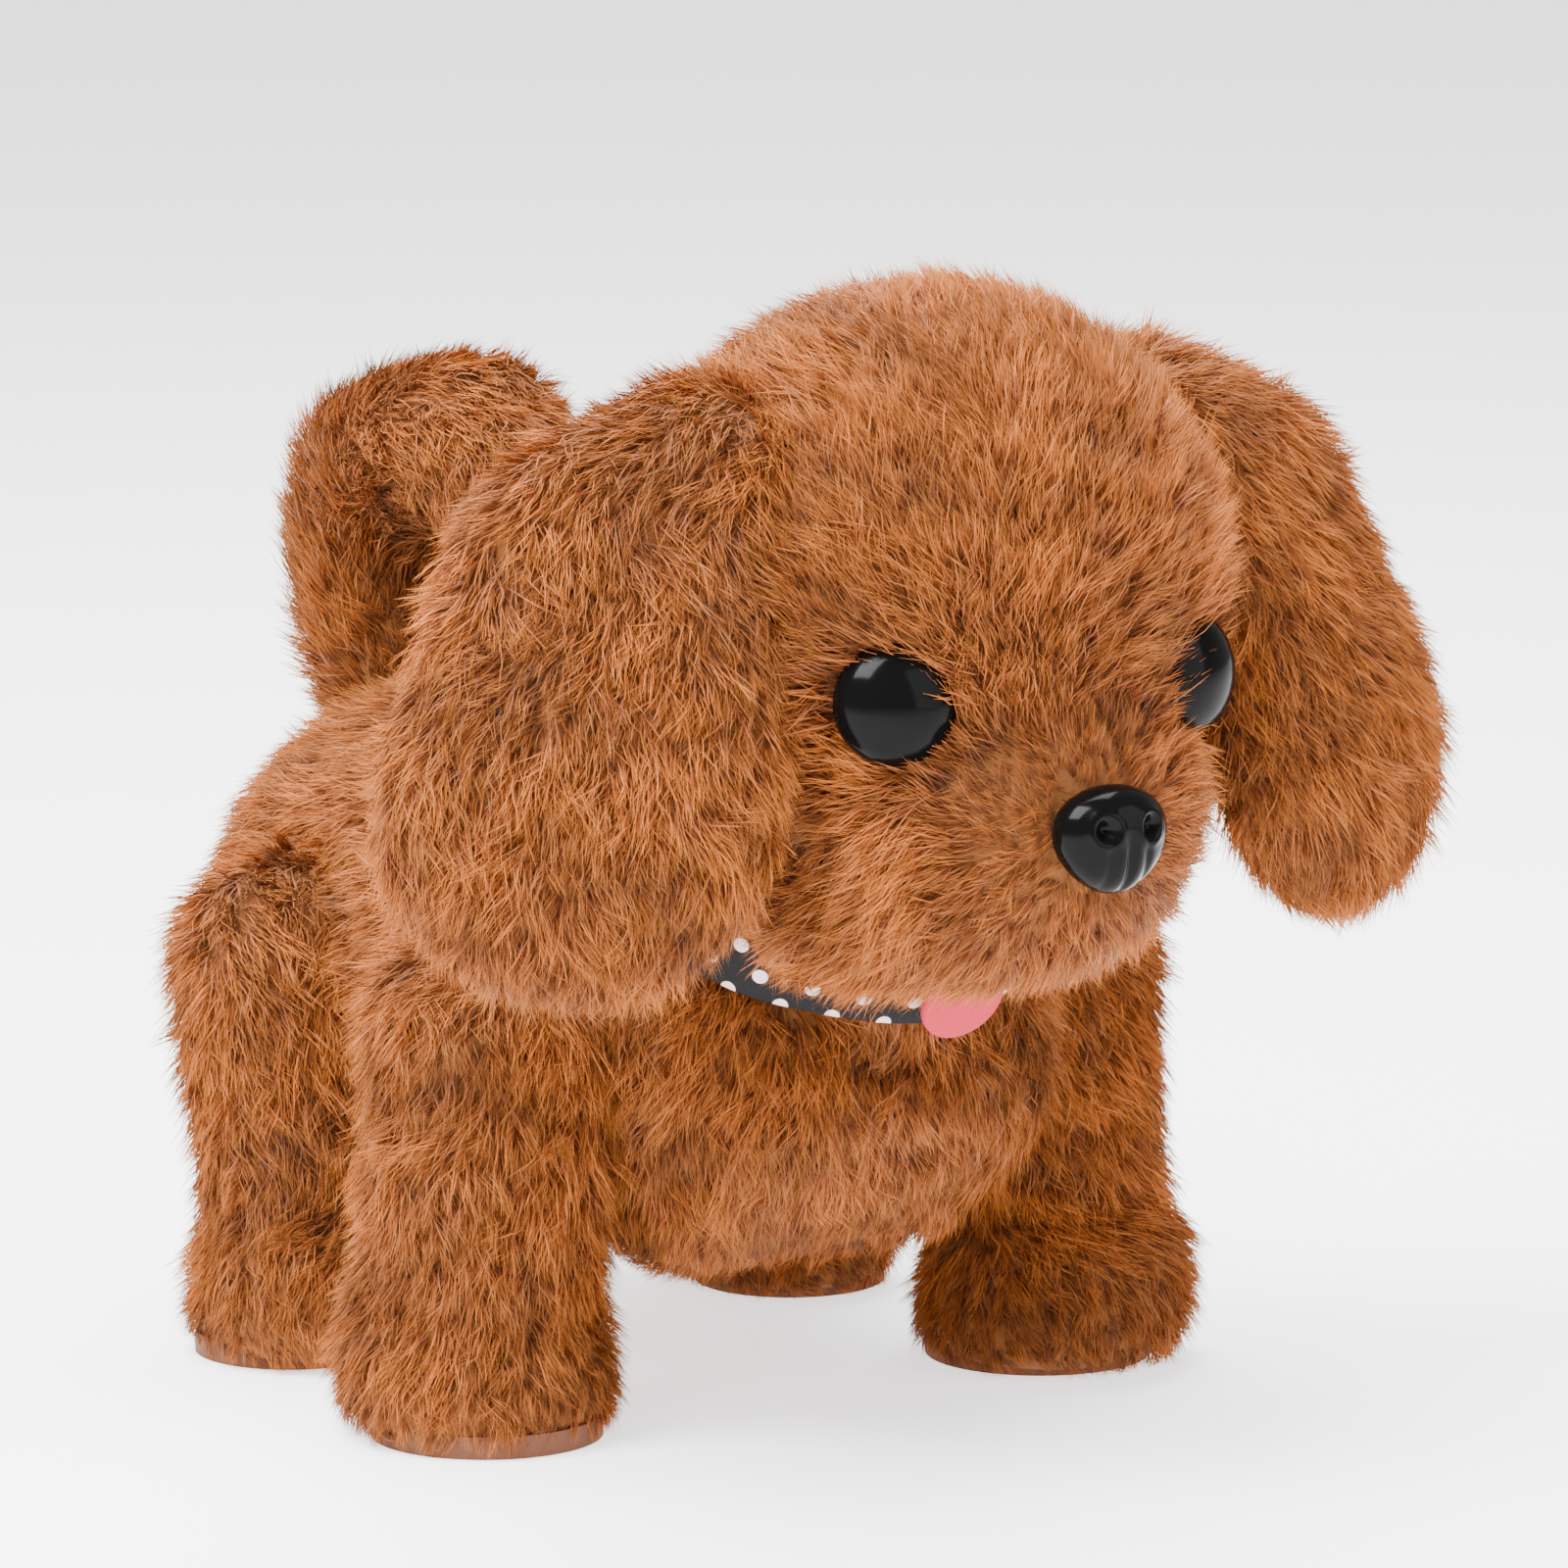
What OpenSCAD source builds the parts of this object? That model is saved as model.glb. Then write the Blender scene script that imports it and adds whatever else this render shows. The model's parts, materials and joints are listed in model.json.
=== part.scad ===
// Walking plush puppy: fur-covered toy dog with a battery gearbox that swings
// the four legs, wags the tail and nods the head. It faces -Y, +X is its left side.

/* [Gearbox and battery case] */
// Diameter of one AA cell
cell_d = 14.5; // [12:0.1:18]
// Length of one AA cell without its nub
cell_len = 49; // [46:0.5:56]
// Wall thickness of the plastic housing
wall = 1.6; // [1.2:0.1:1.8]
// Height of the housing bottom above the ground
belly_z = 21.5; // [20:0.5:24]
// Place of the crank axis along the body
crank_y = 15; // [12:0.5:18]
// Diameter of the motor
motor_d = 20; // [16:0.5:20]
// Length of the motor can
motor_len = 25; // [20:0.5:25]

/* [Gears] */
// Gear module
gear_m = 0.7; // [0.6:0.01:0.72]
// Teeth of the motor pinion and of the small step of the compound gear
teeth_small = 12; // [12:1:14]
// Teeth of the large step of the compound gear
teeth_mid = 30; // [28:1:32]
// Teeth of the crank gear
teeth_crank = 36; // [34:1:38]
// Extra centre distance that gives the teeth running room
gear_ease = 0.15; // [0.1:0.01:0.25]

/* [Legs] */
// Distance between front and rear hip axes
wheel_base = 56; // [54:1:68]
// Distance from the side of the housing to the middle of a front paw
front_paw_out = 24.5; // [23:0.5:31]
// Distance from the side of the housing to the middle of a rear paw
rear_paw_out = 21; // [20:0.5:31]
// Throw of the crank pins
crank_throw = 4.5; // [3:0.1:5.4]
// Diameter of the crank pins
crank_pin_d = 3.2; // [2.4:0.1:4]
// Diameter of the hip posts
hip_post_d = 6; // [5:0.1:8]
// Radius of the upper leg around the hip
thigh_r = 19; // [17:0.5:20]
// Height of the rubber sole
sole_h = 3; // [2:0.1:4]

/* [Head] */
// Width of the plush head
head_w = 86; // [78:1:104]
// Length of the plush head, without the muzzle
head_len = 78; // [72:1:84]
// Height of the plush head
head_h = 82; // [76:1:90]
// Diameter of the eye domes
eye_d = 15.8; // [13:0.1:19]
// Diameter of the neck pin
neck_pin_d = 4; // [3:0.1:5]
// Throw of the nod eccentric
nod_throw = 4; // [2:0.1:4]
// Length of the ear flaps
ear_len = 82; // [70:1:90]
// Width of the ear flaps
ear_w = 50; // [42:1:56]
// Thickness of the ear flaps
ear_t = 17; // [10:1:18]

/* [Torso and tail] */
// Width of the chest
chest_w = 94; // [88:1:110]
// Width of the rump
rump_w = 86; // [84:1:100]
// Radius of the tail curl
tail_r = 15; // [12:0.5:16]
// Diameter of the vertical pin that the tail turns on
tail_pin_d = 3; // [2:0.1:4]
// Tilt of the wobble disc that wags the tail
wag_tilt = 20; // [10:1:21]
// Width of the collar ribbon
collar_w = 12; // [8:0.5:14]

/* [Clearances] */
// Radial running clearance of pivots
run_gap = 0.05; // [0.03:0.01:0.1]
// Gap around pieces that lie in soft stuffing
soft_gap = 0.4; // [0.3:0.05:0.8]

/* [Hidden] */
$fn = 40;
facets_soft = 30;
eps = 0.01;

// Gearbox, side view coordinates are [y, z]
half_w = cell_d + 4.5;
inner_w = half_w - wall;
front_track = half_w + front_paw_out;
rear_track = half_w + rear_paw_out;
box_h = cell_d + 3;
box_top = belly_z + box_h;
gear_add = 0.85 * gear_m;
gear_ded = 1.2 * gear_m;
gear_flank_ease = 0.06;
crank_gear_r = teeth_crank * gear_m / 2;
crank_z = box_top + crank_gear_r + gear_add + 1.8;
hip_z = crank_z;
front_hip_y = crank_y - wheel_base / 2;
rear_hip_y = crank_y + wheel_base / 2;
roof_z = crank_z + 20;
house_front = crank_y - 53;
house_back = crank_y + 57;
box_front = crank_y - 3;
box_back = box_front + cell_len + 7;
mid_dist = (teeth_small + teeth_crank) * gear_m / 2 + gear_ease;
motor_dist = (teeth_small + teeth_mid) * gear_m / 2 + gear_ease;
mid_dir = 165;
motor_dir = 200;
mid_yz = [crank_y + mid_dist * cos(mid_dir), crank_z + mid_dist * sin(mid_dir)];
motor_yz = [mid_yz[0] + motor_dist * cos(motor_dir), mid_yz[1] + motor_dist * sin(motor_dir)];
crank_gear_x = half_w - 5.4;
mid_wheel_x = half_w - 8.8;
mid_wheel_t = 2.6;
crank_gear_t = 3;
motor_face_x = half_w - 9.6;
mid_axle_r = 1;
shaft_r = 2;
screw_r = 1.25;
screw_head_r = 2.6;
board_z = belly_z + 7;
speaker_z = crank_z + 4.5;
housing_screw_yz = [[house_front + 10, roof_z - 6], [house_front + 11, belly_z + 18.5],
    [house_back - 6, roof_z - 8], [house_back - 5, box_top + 6]];

// Crank pins, levers and legs
arm_x = half_w + 0.3;
arm_t = 2.4;
pin_len = 7.8;
pin_r = crank_pin_d / 2;
lever_t = 2.4;
front_lever_x = half_w + 3.5;
rear_lever_x = half_w + 7.1;
lever_len = wheel_base / 2;
slot_half = pin_r + 0.31 * crank_throw;
hub_x0 = half_w + 0.4;
hub_x1 = half_w + 11.6;
hub_r = hip_post_d / 2 + 3;
post_x1 = half_w + 11.8;
washer_t = 1;
leg_x0 = half_w + 13.4;
plate_t = 2.5;
front_paw = [20, 20, 16];
rear_paw = [17.4, 19, 16];
paw_z = 12;
sole_share = 0.76;
swing_max = atan(crank_throw / lever_len);

// Head, side view coordinates are [y, z]
neck_yz = [-30, crank_z + 32];
neck_pin_r = neck_pin_d / 2;
cheek_x = 6.6;
cheek_t = 2.8;
head_yz = [-50, neck_yz[1] + 28];
skull_yz = [-50, neck_yz[1] + 24];
skull_r = 26;
muzzle_yz = [-66, neck_yz[1] + 1];
muzzle_r = [31, 27, 26];
nod_dir = atan2(crank_z - neck_yz[1], crank_y - neck_yz[0]);
nod_len = norm([crank_y - neck_yz[0], crank_z - neck_yz[1]]);
nod_disc_r = nod_throw + shaft_r + 0.5;
nod_slot_half = nod_disc_r + 0.3 * nod_throw;
yoke_dir = atan2(skull_yz[1] - neck_yz[1], skull_yz[0] - neck_yz[0]);
yoke_dist = norm([skull_yz[0] - neck_yz[0], skull_yz[1] - neck_yz[1]]);
plug_r = 12;
eye_at = [22.6, -77.5, neck_yz[1] + 17.6];
eye_turn = [-6, 22];
eye_rise = 0.36 * eye_d;
eye_ball_r = (eye_d * eye_d / 4 + eye_rise * eye_rise) / (2 * eye_rise);
nose_at = [0, -92, neck_yz[1] + 0.5];
nose_r = [7.8, 5.4, 6.8];
ear_at = [55, -57, neck_yz[1] + 19];
ear_yaw = 50;
ear_flare = 14;
nod_room = 5.5;

neck_screw_x = cheek_x + cheek_t + 1;
neck_screw_r = 1;

// Collar and neck
collar_yz = [-27, crank_z + 22];
collar_tilt = 27;
collar_r = 31;
collar_t = 1.2;

// Tail
wag_rim_r = 12.5;
wag_touch = 11;
wag_arm = 18.5;
tail_y = crank_y + wag_touch + wag_arm;
tail_hub_r = 4;
tail_curl = [[78, 95, tail_r - 5], [83.4, 104, tail_r - 1], [78, 114, tail_r],
    [63, 119, tail_r - 1], [50, 113, tail_r - 5]];

// ---------- helpers ----------

// Puts a shape drawn in [y, z] at its place and extrudes it along +X
module along_x(x0, yz, turn = 0) {
    translate([x0, yz[0], yz[1]]) rotate([90, 0, 90]) rotate([0, 0, turn]) children();
}

module rod_x(x0, x1, yz, r) {
    along_x(x0, yz) cylinder(r = r, h = x1 - x0);
}

module block(lo, hi) {
    translate(lo) cube(hi - lo);
}

module ellipsoid(at, r) {
    translate(at) hull() scale(r) sphere(1, $fn = facets_soft);
}

module left_right(side) {
    if (side > 0) children();
    if (side < 0) mirror([1, 0, 0]) children();
}

function involute_angle(r, base) = r <= base ? 0 :
    let (a = acos(base / r)) tan(a) * 180 / PI - a;

// One flank of a gear tooth, from root to tip, as polar [radius, angle from tooth centre]
function flank(teeth) =
    let (pitch = teeth * gear_m / 2, base = pitch * cos(20),
        root = pitch - gear_ded, tip = pitch + gear_add,
        half = 90 / teeth - gear_flank_ease / pitch * 180 / PI + involute_angle(pitch, base))
    [for (i = [0 : 5]) let (r = root + (tip - root) * i / 5) [r, half - involute_angle(r, base)]];

module gear_flat(teeth) {
    side = flank(teeth);
    polygon([for (t = [0 : teeth - 1], k = [0 : 11])
        let (p = k < 6 ? side[k] : side[11 - k], s = k < 6 ? -1 : 1, a = 360 * t / teeth + s * p[1])
        p[0] * [cos(a), sin(a)]]);
}

module gear(x0, yz, teeth, thick, turn, bore_r) {
    along_x(x0, yz, turn) difference() {
        linear_extrude(thick) gear_flat(teeth);
        translate([0, 0, -1]) cylinder(r = bore_r, h = thick + 2);
    }
}

// ---------- housing ----------

module housing_profile(inset) {
    offset(delta = -inset) polygon([[house_front, roof_z], [house_back, roof_z],
        [house_back, belly_z + 5], [house_back - 4, belly_z], [house_front + 20, belly_z],
        [house_front, belly_z + 24]]);
}

module housing_half(side) {
    left_right(side) difference() {
        union() {
            difference() {
                along_x(0, [0, 0]) linear_extrude(half_w) housing_profile(0);
                along_x(-1, [0, 0]) linear_extrude(inner_w + 1) housing_profile(wall);
            }
            for (yz = housing_screw_yz) rod_x(0, inner_w + eps, yz, 3.2);
            for (y = [front_hip_y, rear_hip_y]) rod_x(half_w - eps, post_x1, [y, hip_z], hip_post_d / 2);
            rod_x(inner_w - 0.6, inner_w + eps, [crank_y, crank_z], shaft_r + 2);
            if (side > 0) rod_x(inner_w - 0.6, inner_w + eps, mid_yz, mid_axle_r + 1.4);
        }
        rod_x(inner_w - 2, half_w + 1, [crank_y, crank_z], shaft_r + run_gap);
        for (y = [front_hip_y, rear_hip_y]) rod_x(half_w + 1, post_x1 + 1, [y, hip_z], screw_r);
        for (yz = housing_screw_yz) {
            rod_x(-1, side > 0 ? 10 : half_w + 1, yz, side > 0 ? screw_r : screw_r + 0.2);
            if (side < 0) rod_x(half_w - 2.2, half_w + 1, yz, screw_head_r + 0.1);
        }
        if (side > 0) rod_x(inner_w - 2, half_w + 1, mid_yz, mid_axle_r);
        // battery box opening, tail hub hole, switch slot and speaker grille
        block([-1, box_front - 0.2, belly_z - 1], [inner_w + eps, box_back + 0.2, belly_z + wall + 1]);
        translate([0, tail_y, roof_z - wall - 1]) cylinder(r = tail_hub_r + 0.5, h = wall + 2);
        block([-1, crank_y - 19.6, belly_z - 1], [1.8, crank_y - 12.4, belly_z + wall + 1]);
        for (z = [-8 : 4 : 8]) block([-1, house_front - 1, speaker_z - 1 + z],
            [sqrt(100 - z * z), house_front + wall + 1, speaker_z + 1 + z]);
        if (side < 0) block([cheek_x - 0.6, neck_yz[0] + 9, roof_z - wall - 1],
            [cheek_x + cheek_t + 0.6, neck_yz[0] + 46, roof_z + 1]);
        translate([neck_screw_x, neck_yz[0], roof_z - wall - 1]) cylinder(r = neck_screw_r, h = wall + 2);
    }
}

module housing_left() {
    color("whitesmoke") housing_half(1);
}

module housing_right() {
    color("whitesmoke") housing_half(-1);
}

module housing_screws() {
    color("silver") for (yz = housing_screw_yz) {
        rod_x(-half_w + 0.1, -half_w + 2.1, yz, screw_head_r);
        rod_x(-half_w + 2, 9, yz, screw_r);
    }
    color("silver") for (s = [-1, 1]) translate([s * neck_screw_x, neck_yz[0], roof_z]) {
        translate([0, 0, -wall]) cylinder(r = neck_screw_r, h = wall + 2.1);
        translate([0, 0, 2]) cylinder(r = 1.9, h = 1.2);
    }
}

module hip_screws() {
    color("silver") for (s = [-1, 1], y = [front_hip_y, rear_hip_y]) left_right(s) {
        rod_x(half_w + 2, post_x1 + washer_t + 0.1, [y, hip_z], screw_r);
        rod_x(post_x1 + washer_t, post_x1 + washer_t + 1.4, [y, hip_z], screw_head_r);
    }
}

module hip_washers() {
    color("lightgray") for (s = [-1, 1], y = [front_hip_y, rear_hip_y]) left_right(s)
        difference() {
            rod_x(post_x1, post_x1 + washer_t, [y, hip_z], hip_post_d / 2 + 2);
            rod_x(post_x1 - 1, post_x1 + washer_t + 1, [y, hip_z], screw_r);
        }
}

// ---------- drive ----------

module motor() {
    color("silver") {
        intersection() {
            rod_x(motor_face_x - motor_len, motor_face_x, motor_yz, motor_d / 2);
            block([-100, motor_yz[0] - motor_d / 2, motor_yz[1] - motor_d * 0.38],
                [100, motor_yz[0] + motor_d / 2, motor_yz[1] + motor_d * 0.38]);
        }
        rod_x(motor_face_x - eps, motor_face_x + 0.6, motor_yz, 3);
    }
}

module motor_cradle() {
    color("white") difference() {
        block([-inner_w + 0.6, motor_yz[0] - motor_d * 0.35, board_z + 3],
            [motor_face_x - 2, motor_yz[0] + motor_d * 0.35, motor_yz[1] - motor_d * 0.38 + 2]);
        rod_x(-100, 100, motor_yz, motor_d / 2 + 0.1);
        block([-100, motor_yz[0] - motor_d * 0.2, board_z + 2], [100, motor_yz[0] + motor_d * 0.2, board_z + 6]);
        block([-100, -100, motor_yz[1] - motor_d * 0.38 - 0.1], [100, 100, 100]);
    }
}

module motor_pinion() {
    color("white") difference() {
        gear(mid_wheel_x, motor_yz, teeth_small, mid_wheel_t, motor_dir, 1);
        rod_x(0, 50, motor_yz, 1);
    }
}

module motor_shaft() {
    color("silver") rod_x(motor_face_x + 0.65, mid_wheel_x + mid_wheel_t + 0.8, motor_yz, 1);
}

module compound_gear() {
    color("white") {
        gear(mid_wheel_x, mid_yz, teeth_mid, mid_wheel_t, motor_dir + 180 / teeth_mid, mid_axle_r + run_gap);
        gear(mid_wheel_x + mid_wheel_t - eps, mid_yz, teeth_small, crank_gear_t + 0.8,
            mid_dir, mid_axle_r + run_gap);
    }
}

module gear_axle() {
    color("silver") rod_x(mid_wheel_x - 0.8, half_w, mid_yz, mid_axle_r);
}

module crank_gear() {
    color("white") gear(crank_gear_x, [crank_y, crank_z], teeth_crank, crank_gear_t,
        mid_dir + 180 / teeth_crank, shaft_r);
}

module crank_shaft() {
    color("silver") rod_x(-arm_x - arm_t, arm_x + arm_t, [crank_y, crank_z], shaft_r);
}

module crank_arm(side) {
    color("white") left_right(side) difference() {
        union() {
            rod_x(arm_x, arm_x + arm_t, [crank_y, crank_z], crank_throw + pin_r + 2);
            rod_x(arm_x + arm_t - eps, arm_x + arm_t + pin_len, [crank_y + side * crank_throw, crank_z], pin_r);
        }
        rod_x(arm_x - 1, arm_x + arm_t, [crank_y, crank_z], shaft_r);
    }
}

module nod_eccentric() {
    color("white") difference() {
        rod_x(-cheek_x - cheek_t - 0.1, -cheek_x + 0.1,
            [crank_y - nod_throw * cos(nod_dir), crank_z - nod_throw * sin(nod_dir)], nod_disc_r);
        rod_x(-half_w, half_w, [crank_y, crank_z], shaft_r);
    }
}

module wag_disc() {
    color("white") difference() {
        union() {
            translate([0, crank_y, crank_z]) rotate([0, -wag_tilt, 0]) rotate([90, 0, 90])
                translate([0, 0, -1.2]) cylinder(r = wag_rim_r, h = 2.4);
            rod_x(-4, 4, [crank_y, crank_z], shaft_r + 1.5);
        }
        rod_x(-half_w, half_w, [crank_y, crank_z], shaft_r);
    }
}

// ---------- battery compartment and electrics ----------

module cells(gap, extra) {
    for (s = [-1, 1]) translate([s * (cell_d / 2 + 0.5), box_front + 3.5 - extra, belly_z + cell_d / 2 + 1])
        rotate([-90, 0, 0]) cylinder(r = cell_d / 2 + gap, h = cell_len + 2 * extra);
}

module battery_box() {
    color("whitesmoke") difference() {
        block([-inner_w + 0.2, box_front, belly_z], [inner_w - 0.2, box_back, box_top]);
        cells(0.2, 2);
        for (s = [-1, 1]) block([s * (cell_d / 2 + 0.5) - cell_d / 2 - 0.2, box_front + 1.5, belly_z - 1],
            [s * (cell_d / 2 + 0.5) + cell_d / 2 + 0.2, box_back - 1.5, belly_z + cell_d / 2 + 1]);
        translate([0, box_back - 6, belly_z - 1]) cylinder(r = screw_r, h = 8);
        for (yz = [housing_screw_yz[3]]) rod_x(-half_w, half_w, yz, 3.4);
    }
}

module tail_boss() {
    color("whitesmoke") difference() {
        translate([0, tail_y, box_top]) cylinder(r = 5, h = crank_z - 4.2 - box_top);
        translate([0, tail_y, box_top - 1]) cylinder(r = tail_pin_d / 2, h = 30);
    }
}

module tail_pin() {
    color("silver") translate([0, tail_y, box_top + 1]) cylinder(r = tail_pin_d / 2, h = roof_z - 3 - box_top);
}

module batteries() {
    color("goldenrod") {
        cells(0, 0);
        for (s = [-1, 1]) translate([s * (cell_d / 2 + 0.5), box_front + 3.5 + (s > 0 ? cell_len - eps : -1.2),
            belly_z + cell_d / 2 + 1]) rotate([-90, 0, 0]) cylinder(r = 2.7, h = 1.2);
    }
}

module battery_contacts() {
    color("silver") for (s = [-1, 1], e = [0, 1]) {
        y = e == 0 ? box_front + 1.5 : box_back - 2;
        translate([s * (cell_d / 2 + 0.5), y, belly_z + cell_d / 2 + 1]) rotate([-90, 0, 0])
            cylinder(r = 5, h = 0.5);
    }
}

module battery_cover() {
    color("whitesmoke") difference() {
        block([-inner_w + 3, box_front + 1, belly_z - 1.6], [inner_w - 3, box_back - 1, belly_z - 0.05]);
        translate([0, box_back - 6, belly_z - 3]) cylinder(r = screw_r + 0.1, h = 6);
        translate([0, box_back - 6, belly_z - 3]) cylinder(r = screw_head_r + 0.1, h = 2.2);
    }
}

module cover_screw() {
    color("silver") translate([0, box_back - 6, belly_z - 1.6]) {
        cylinder(r = screw_head_r, h = 0.8);
        cylinder(r = screw_r - 0.1, h = 7);
    }
}

module circuit_board() {
    color("seagreen") block([-inner_w + 3, house_front + 18, board_z], [inner_w - 3, box_front - 2, board_z + 1.6]);
    color("black") block([-5, house_front + 21, board_z + 1.6 - eps], [2, house_front + 27, board_z + 2.6]);
}

module speaker() {
    color("dimgray") translate([0, house_front + wall + 0.1, speaker_z]) rotate([-90, 0, 0]) {
        cylinder(r = 12, h = 2.4);
        cylinder(r = 7, h = 5.2);
    }
}

module switch_body() {
    color("black") difference() {
        block([-4, crank_y - 21, belly_z + wall], [4, crank_y - 11, belly_z + wall + 4.4]);
        block([-1.7, crank_y - 19.6, belly_z], [1.7, crank_y - 12.4, belly_z + wall + 3]);
    }
}

module switch_knob() {
    color("dimgray") {
        block([-1.4, crank_y - 19.3, belly_z - 0.3], [1.4, crank_y - 15.9, belly_z + wall + 2.6]);
        block([-3, crank_y - 19.3, belly_z - 1.8], [3, crank_y - 15.9, belly_z - 0.2]);
    }
}

// ---------- legs ----------

module lever(x0, dir) {
    difference() {
        block([x0, min(0, dir * (lever_len + crank_throw + slot_half + 2.2)), -slot_half - 2],
            [x0 + lever_t, max(0, dir * (lever_len + crank_throw + slot_half + 2.2)), slot_half + 2]);
        block([x0 - 1, dir * lever_len - crank_throw - slot_half, -slot_half],
            [x0 + lever_t + 1, dir * lever_len + crank_throw + slot_half, slot_half]);
    }
}

module shank(track, grow) {
    hull() {
        rod_x(half_w + 9.7 - grow, hub_x1 + grow, [0, 0], hub_r + 1 + grow, $fn = 32);
        translate([track, 0, sole_h - hip_z + plate_t]) cylinder(r = 6 + grow, h = 2 + grow, $fn = 32);
    }
}

module leg_frame(side, rear) {
    track = rear ? rear_track : front_track;
    paw = rear ? rear_paw : front_paw;
    dir = rear ? -1 : 1;
    color("white") left_right(side) translate([0, rear ? rear_hip_y : front_hip_y, hip_z]) difference() {
        union() {
            rod_x(hub_x0, hub_x1, [0, 0], hub_r);
            lever(rear ? rear_lever_x : front_lever_x, dir);
            shank(track, 0);
            translate([track, 0, sole_h - hip_z]) cylinder(r = sole_share * paw[0] - 1, h = plate_t);
        }
        rod_x(hub_x0 - 1, hub_x1 + 1, [0, 0], hip_post_d / 2 + run_gap);
        rod_x(hub_x1, hub_x1 + 6, [0, 0], hip_post_d / 2 + 2.6);
    }
}

module paw_sole(side, rear) {
    paw = rear ? rear_paw : front_paw;
    color("saddlebrown") left_right(side) translate([rear ? rear_track : front_track, rear ? rear_hip_y : front_hip_y, 0])
        cylinder(r = sole_share * paw[0], h = sole_h);
}

module plush_leg(side, rear) {
    track = rear ? rear_track : front_track;
    paw = rear ? rear_paw : front_paw;
    color("peru") left_right(side) translate([0, rear ? rear_hip_y : front_hip_y, hip_z]) difference() {
        hull() {
            rod_x(leg_x0, track + paw[0] - 8, [0, 0], thigh_r - 1, $fn = 32);
            rod_x(leg_x0 + 2, track + paw[0] - 3, [0, 0], thigh_r - 5, $fn = 32);
            translate([track, 0, paw_z - hip_z]) scale(paw) sphere(1, $fn = 32);
        }
        block([-100, -100, -hip_z - 30], [100, 100, sole_h - hip_z]);
        shank(track, soft_gap);
        translate([track, 0, sole_h - hip_z - 1])
            cylinder(r = sole_share * paw[0] - 1 + soft_gap, h = plate_t + 1 + soft_gap);
        rod_x(leg_x0 - 10, leg_x0 + 3, [0, 0], hub_r + 1.4);
        block([0, -100, -15], [leg_x0, 100, 100]);
    }
}

// ---------- torso ----------

module collar_place() {
    translate([0, collar_yz[0], collar_yz[1]]) rotate([collar_tilt, 0, 0]) children();
}

module leg_sweep(hip_y, paw) {
    hull() {
        translate([hip_y, hip_z]) circle(r = thigh_r + 1);
        for (a = [-swing_max - 1.5, swing_max + 1.5])
            translate([hip_y, hip_z]) rotate([0, 0, a]) translate([0, paw_z - hip_z]) circle(r = paw[1] + 1.2);
    }
}

module leg_pockets(side) {
    left_right(side) for (k = [[front_hip_y, front_paw], [rear_hip_y, rear_paw]]) {
        along_x(leg_x0 - 1, [0, 0]) linear_extrude(60) leg_sweep(k[0], k[1]);
        intersection() {
            along_x(half_w + 3, [0, 0]) linear_extrude(60) leg_sweep(k[0], k[1]);
            block([0, -100, -5], [100, 150, hip_z - 11]);
        }
    }
}

module torso_form() {
    hull() {
        ellipsoid([0, -4, crank_z + 6], [chest_w / 2, 42, 42]);
        ellipsoid([0, 56, crank_z], [rump_w / 2, 38, 36]);
        for (x = [-1, 1]) {
            translate([x * half_w, -20, belly_z + 3]) sphere(7, $fn = 24);
            translate([x * half_w, house_back - 3, belly_z + 5]) sphere(7, $fn = 24);
        }
    }
}

// Body with a shoulder under the collar and a neck stub inside it
module torso_and_neck() {
    difference() {
        torso_form();
        collar_place() translate([0, 0, -collar_w / 2 - 0.1]) cylinder(r = 60, h = 80);
        head_sweep();
    }
    collar_place() translate([0, 0, -20]) cylinder(r = collar_r - collar_t, h = 20 + collar_w / 2 + 2);
}

module plush_torso() {
    color("peru") difference() {
        torso_and_neck();
        // room for the housing, the levers on both sides and the hip screws
        along_x(-half_w - soft_gap, [0, 0]) linear_extrude(2 * (half_w + soft_gap)) housing_profile(-soft_gap);
        block([-leg_x0, front_hip_y - hub_r - 3, hip_z - 12], [leg_x0, rear_hip_y + hub_r + 3, hip_z + 11]);
        for (s = [-1, 1]) leg_pockets(s);
        // belly opening for the battery cover and the switch
        block([-inner_w + 2, box_front, 0], [inner_w - 2, box_back, belly_z + 1]);
        block([-4, crank_y - 21, 0], [4, crank_y - 11, belly_z + 1]);
        // neck opening and room for the nod lever
        collar_place() translate([0, 0, -14]) cylinder(r = 21.5, h = 60);
        block([-11, neck_yz[0], roof_z - 3], [11, neck_yz[0] + 32, roof_z + 14]);
        // tail slot and the hollow under the tail root
        translate([0, tail_y, roof_z - 1]) cylinder(r = 14, h = 9);
        block([-14, tail_y, roof_z - 1], [14, 84, roof_z + 8]);
        hull() for (x = [-9, 9]) translate([x, tail_curl[0][0] - 1, tail_curl[0][1]]) sphere(tail_r - 3);
        translate([0, tail_y, roof_z - 1]) linear_extrude(30) polygon([[0, 0], [17, 40], [-17, 40]]);
    }
}

module collar() {
    color("black") collar_place() translate([0, 0, -collar_w / 2]) difference() {
        cylinder(r = collar_r, h = collar_w);
        translate([0, 0, -1]) cylinder(r = collar_r - collar_t, h = collar_w + 2);
    }
}

// ---------- head ----------

module neck_post() {
    color("whitesmoke") difference() {
        union() {
            block([-neck_screw_x - 2.4, neck_yz[0] - 7.9, roof_z], [neck_screw_x + 2.4, neck_yz[0] + 6, roof_z + 2]);
            block([-cheek_x + 0.2, neck_yz[0] - 4, roof_z + 1], [cheek_x - 0.2, neck_yz[0] + 4, neck_yz[1]]);
            rod_x(-cheek_x + 0.2, cheek_x - 0.2, neck_yz, 4);
        }
        rod_x(-20, 20, neck_yz, neck_pin_r);
        for (s = [-1, 1]) translate([s * neck_screw_x, neck_yz[0], roof_z - 1]) cylinder(r = neck_screw_r, h = 4);
    }
}

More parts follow.
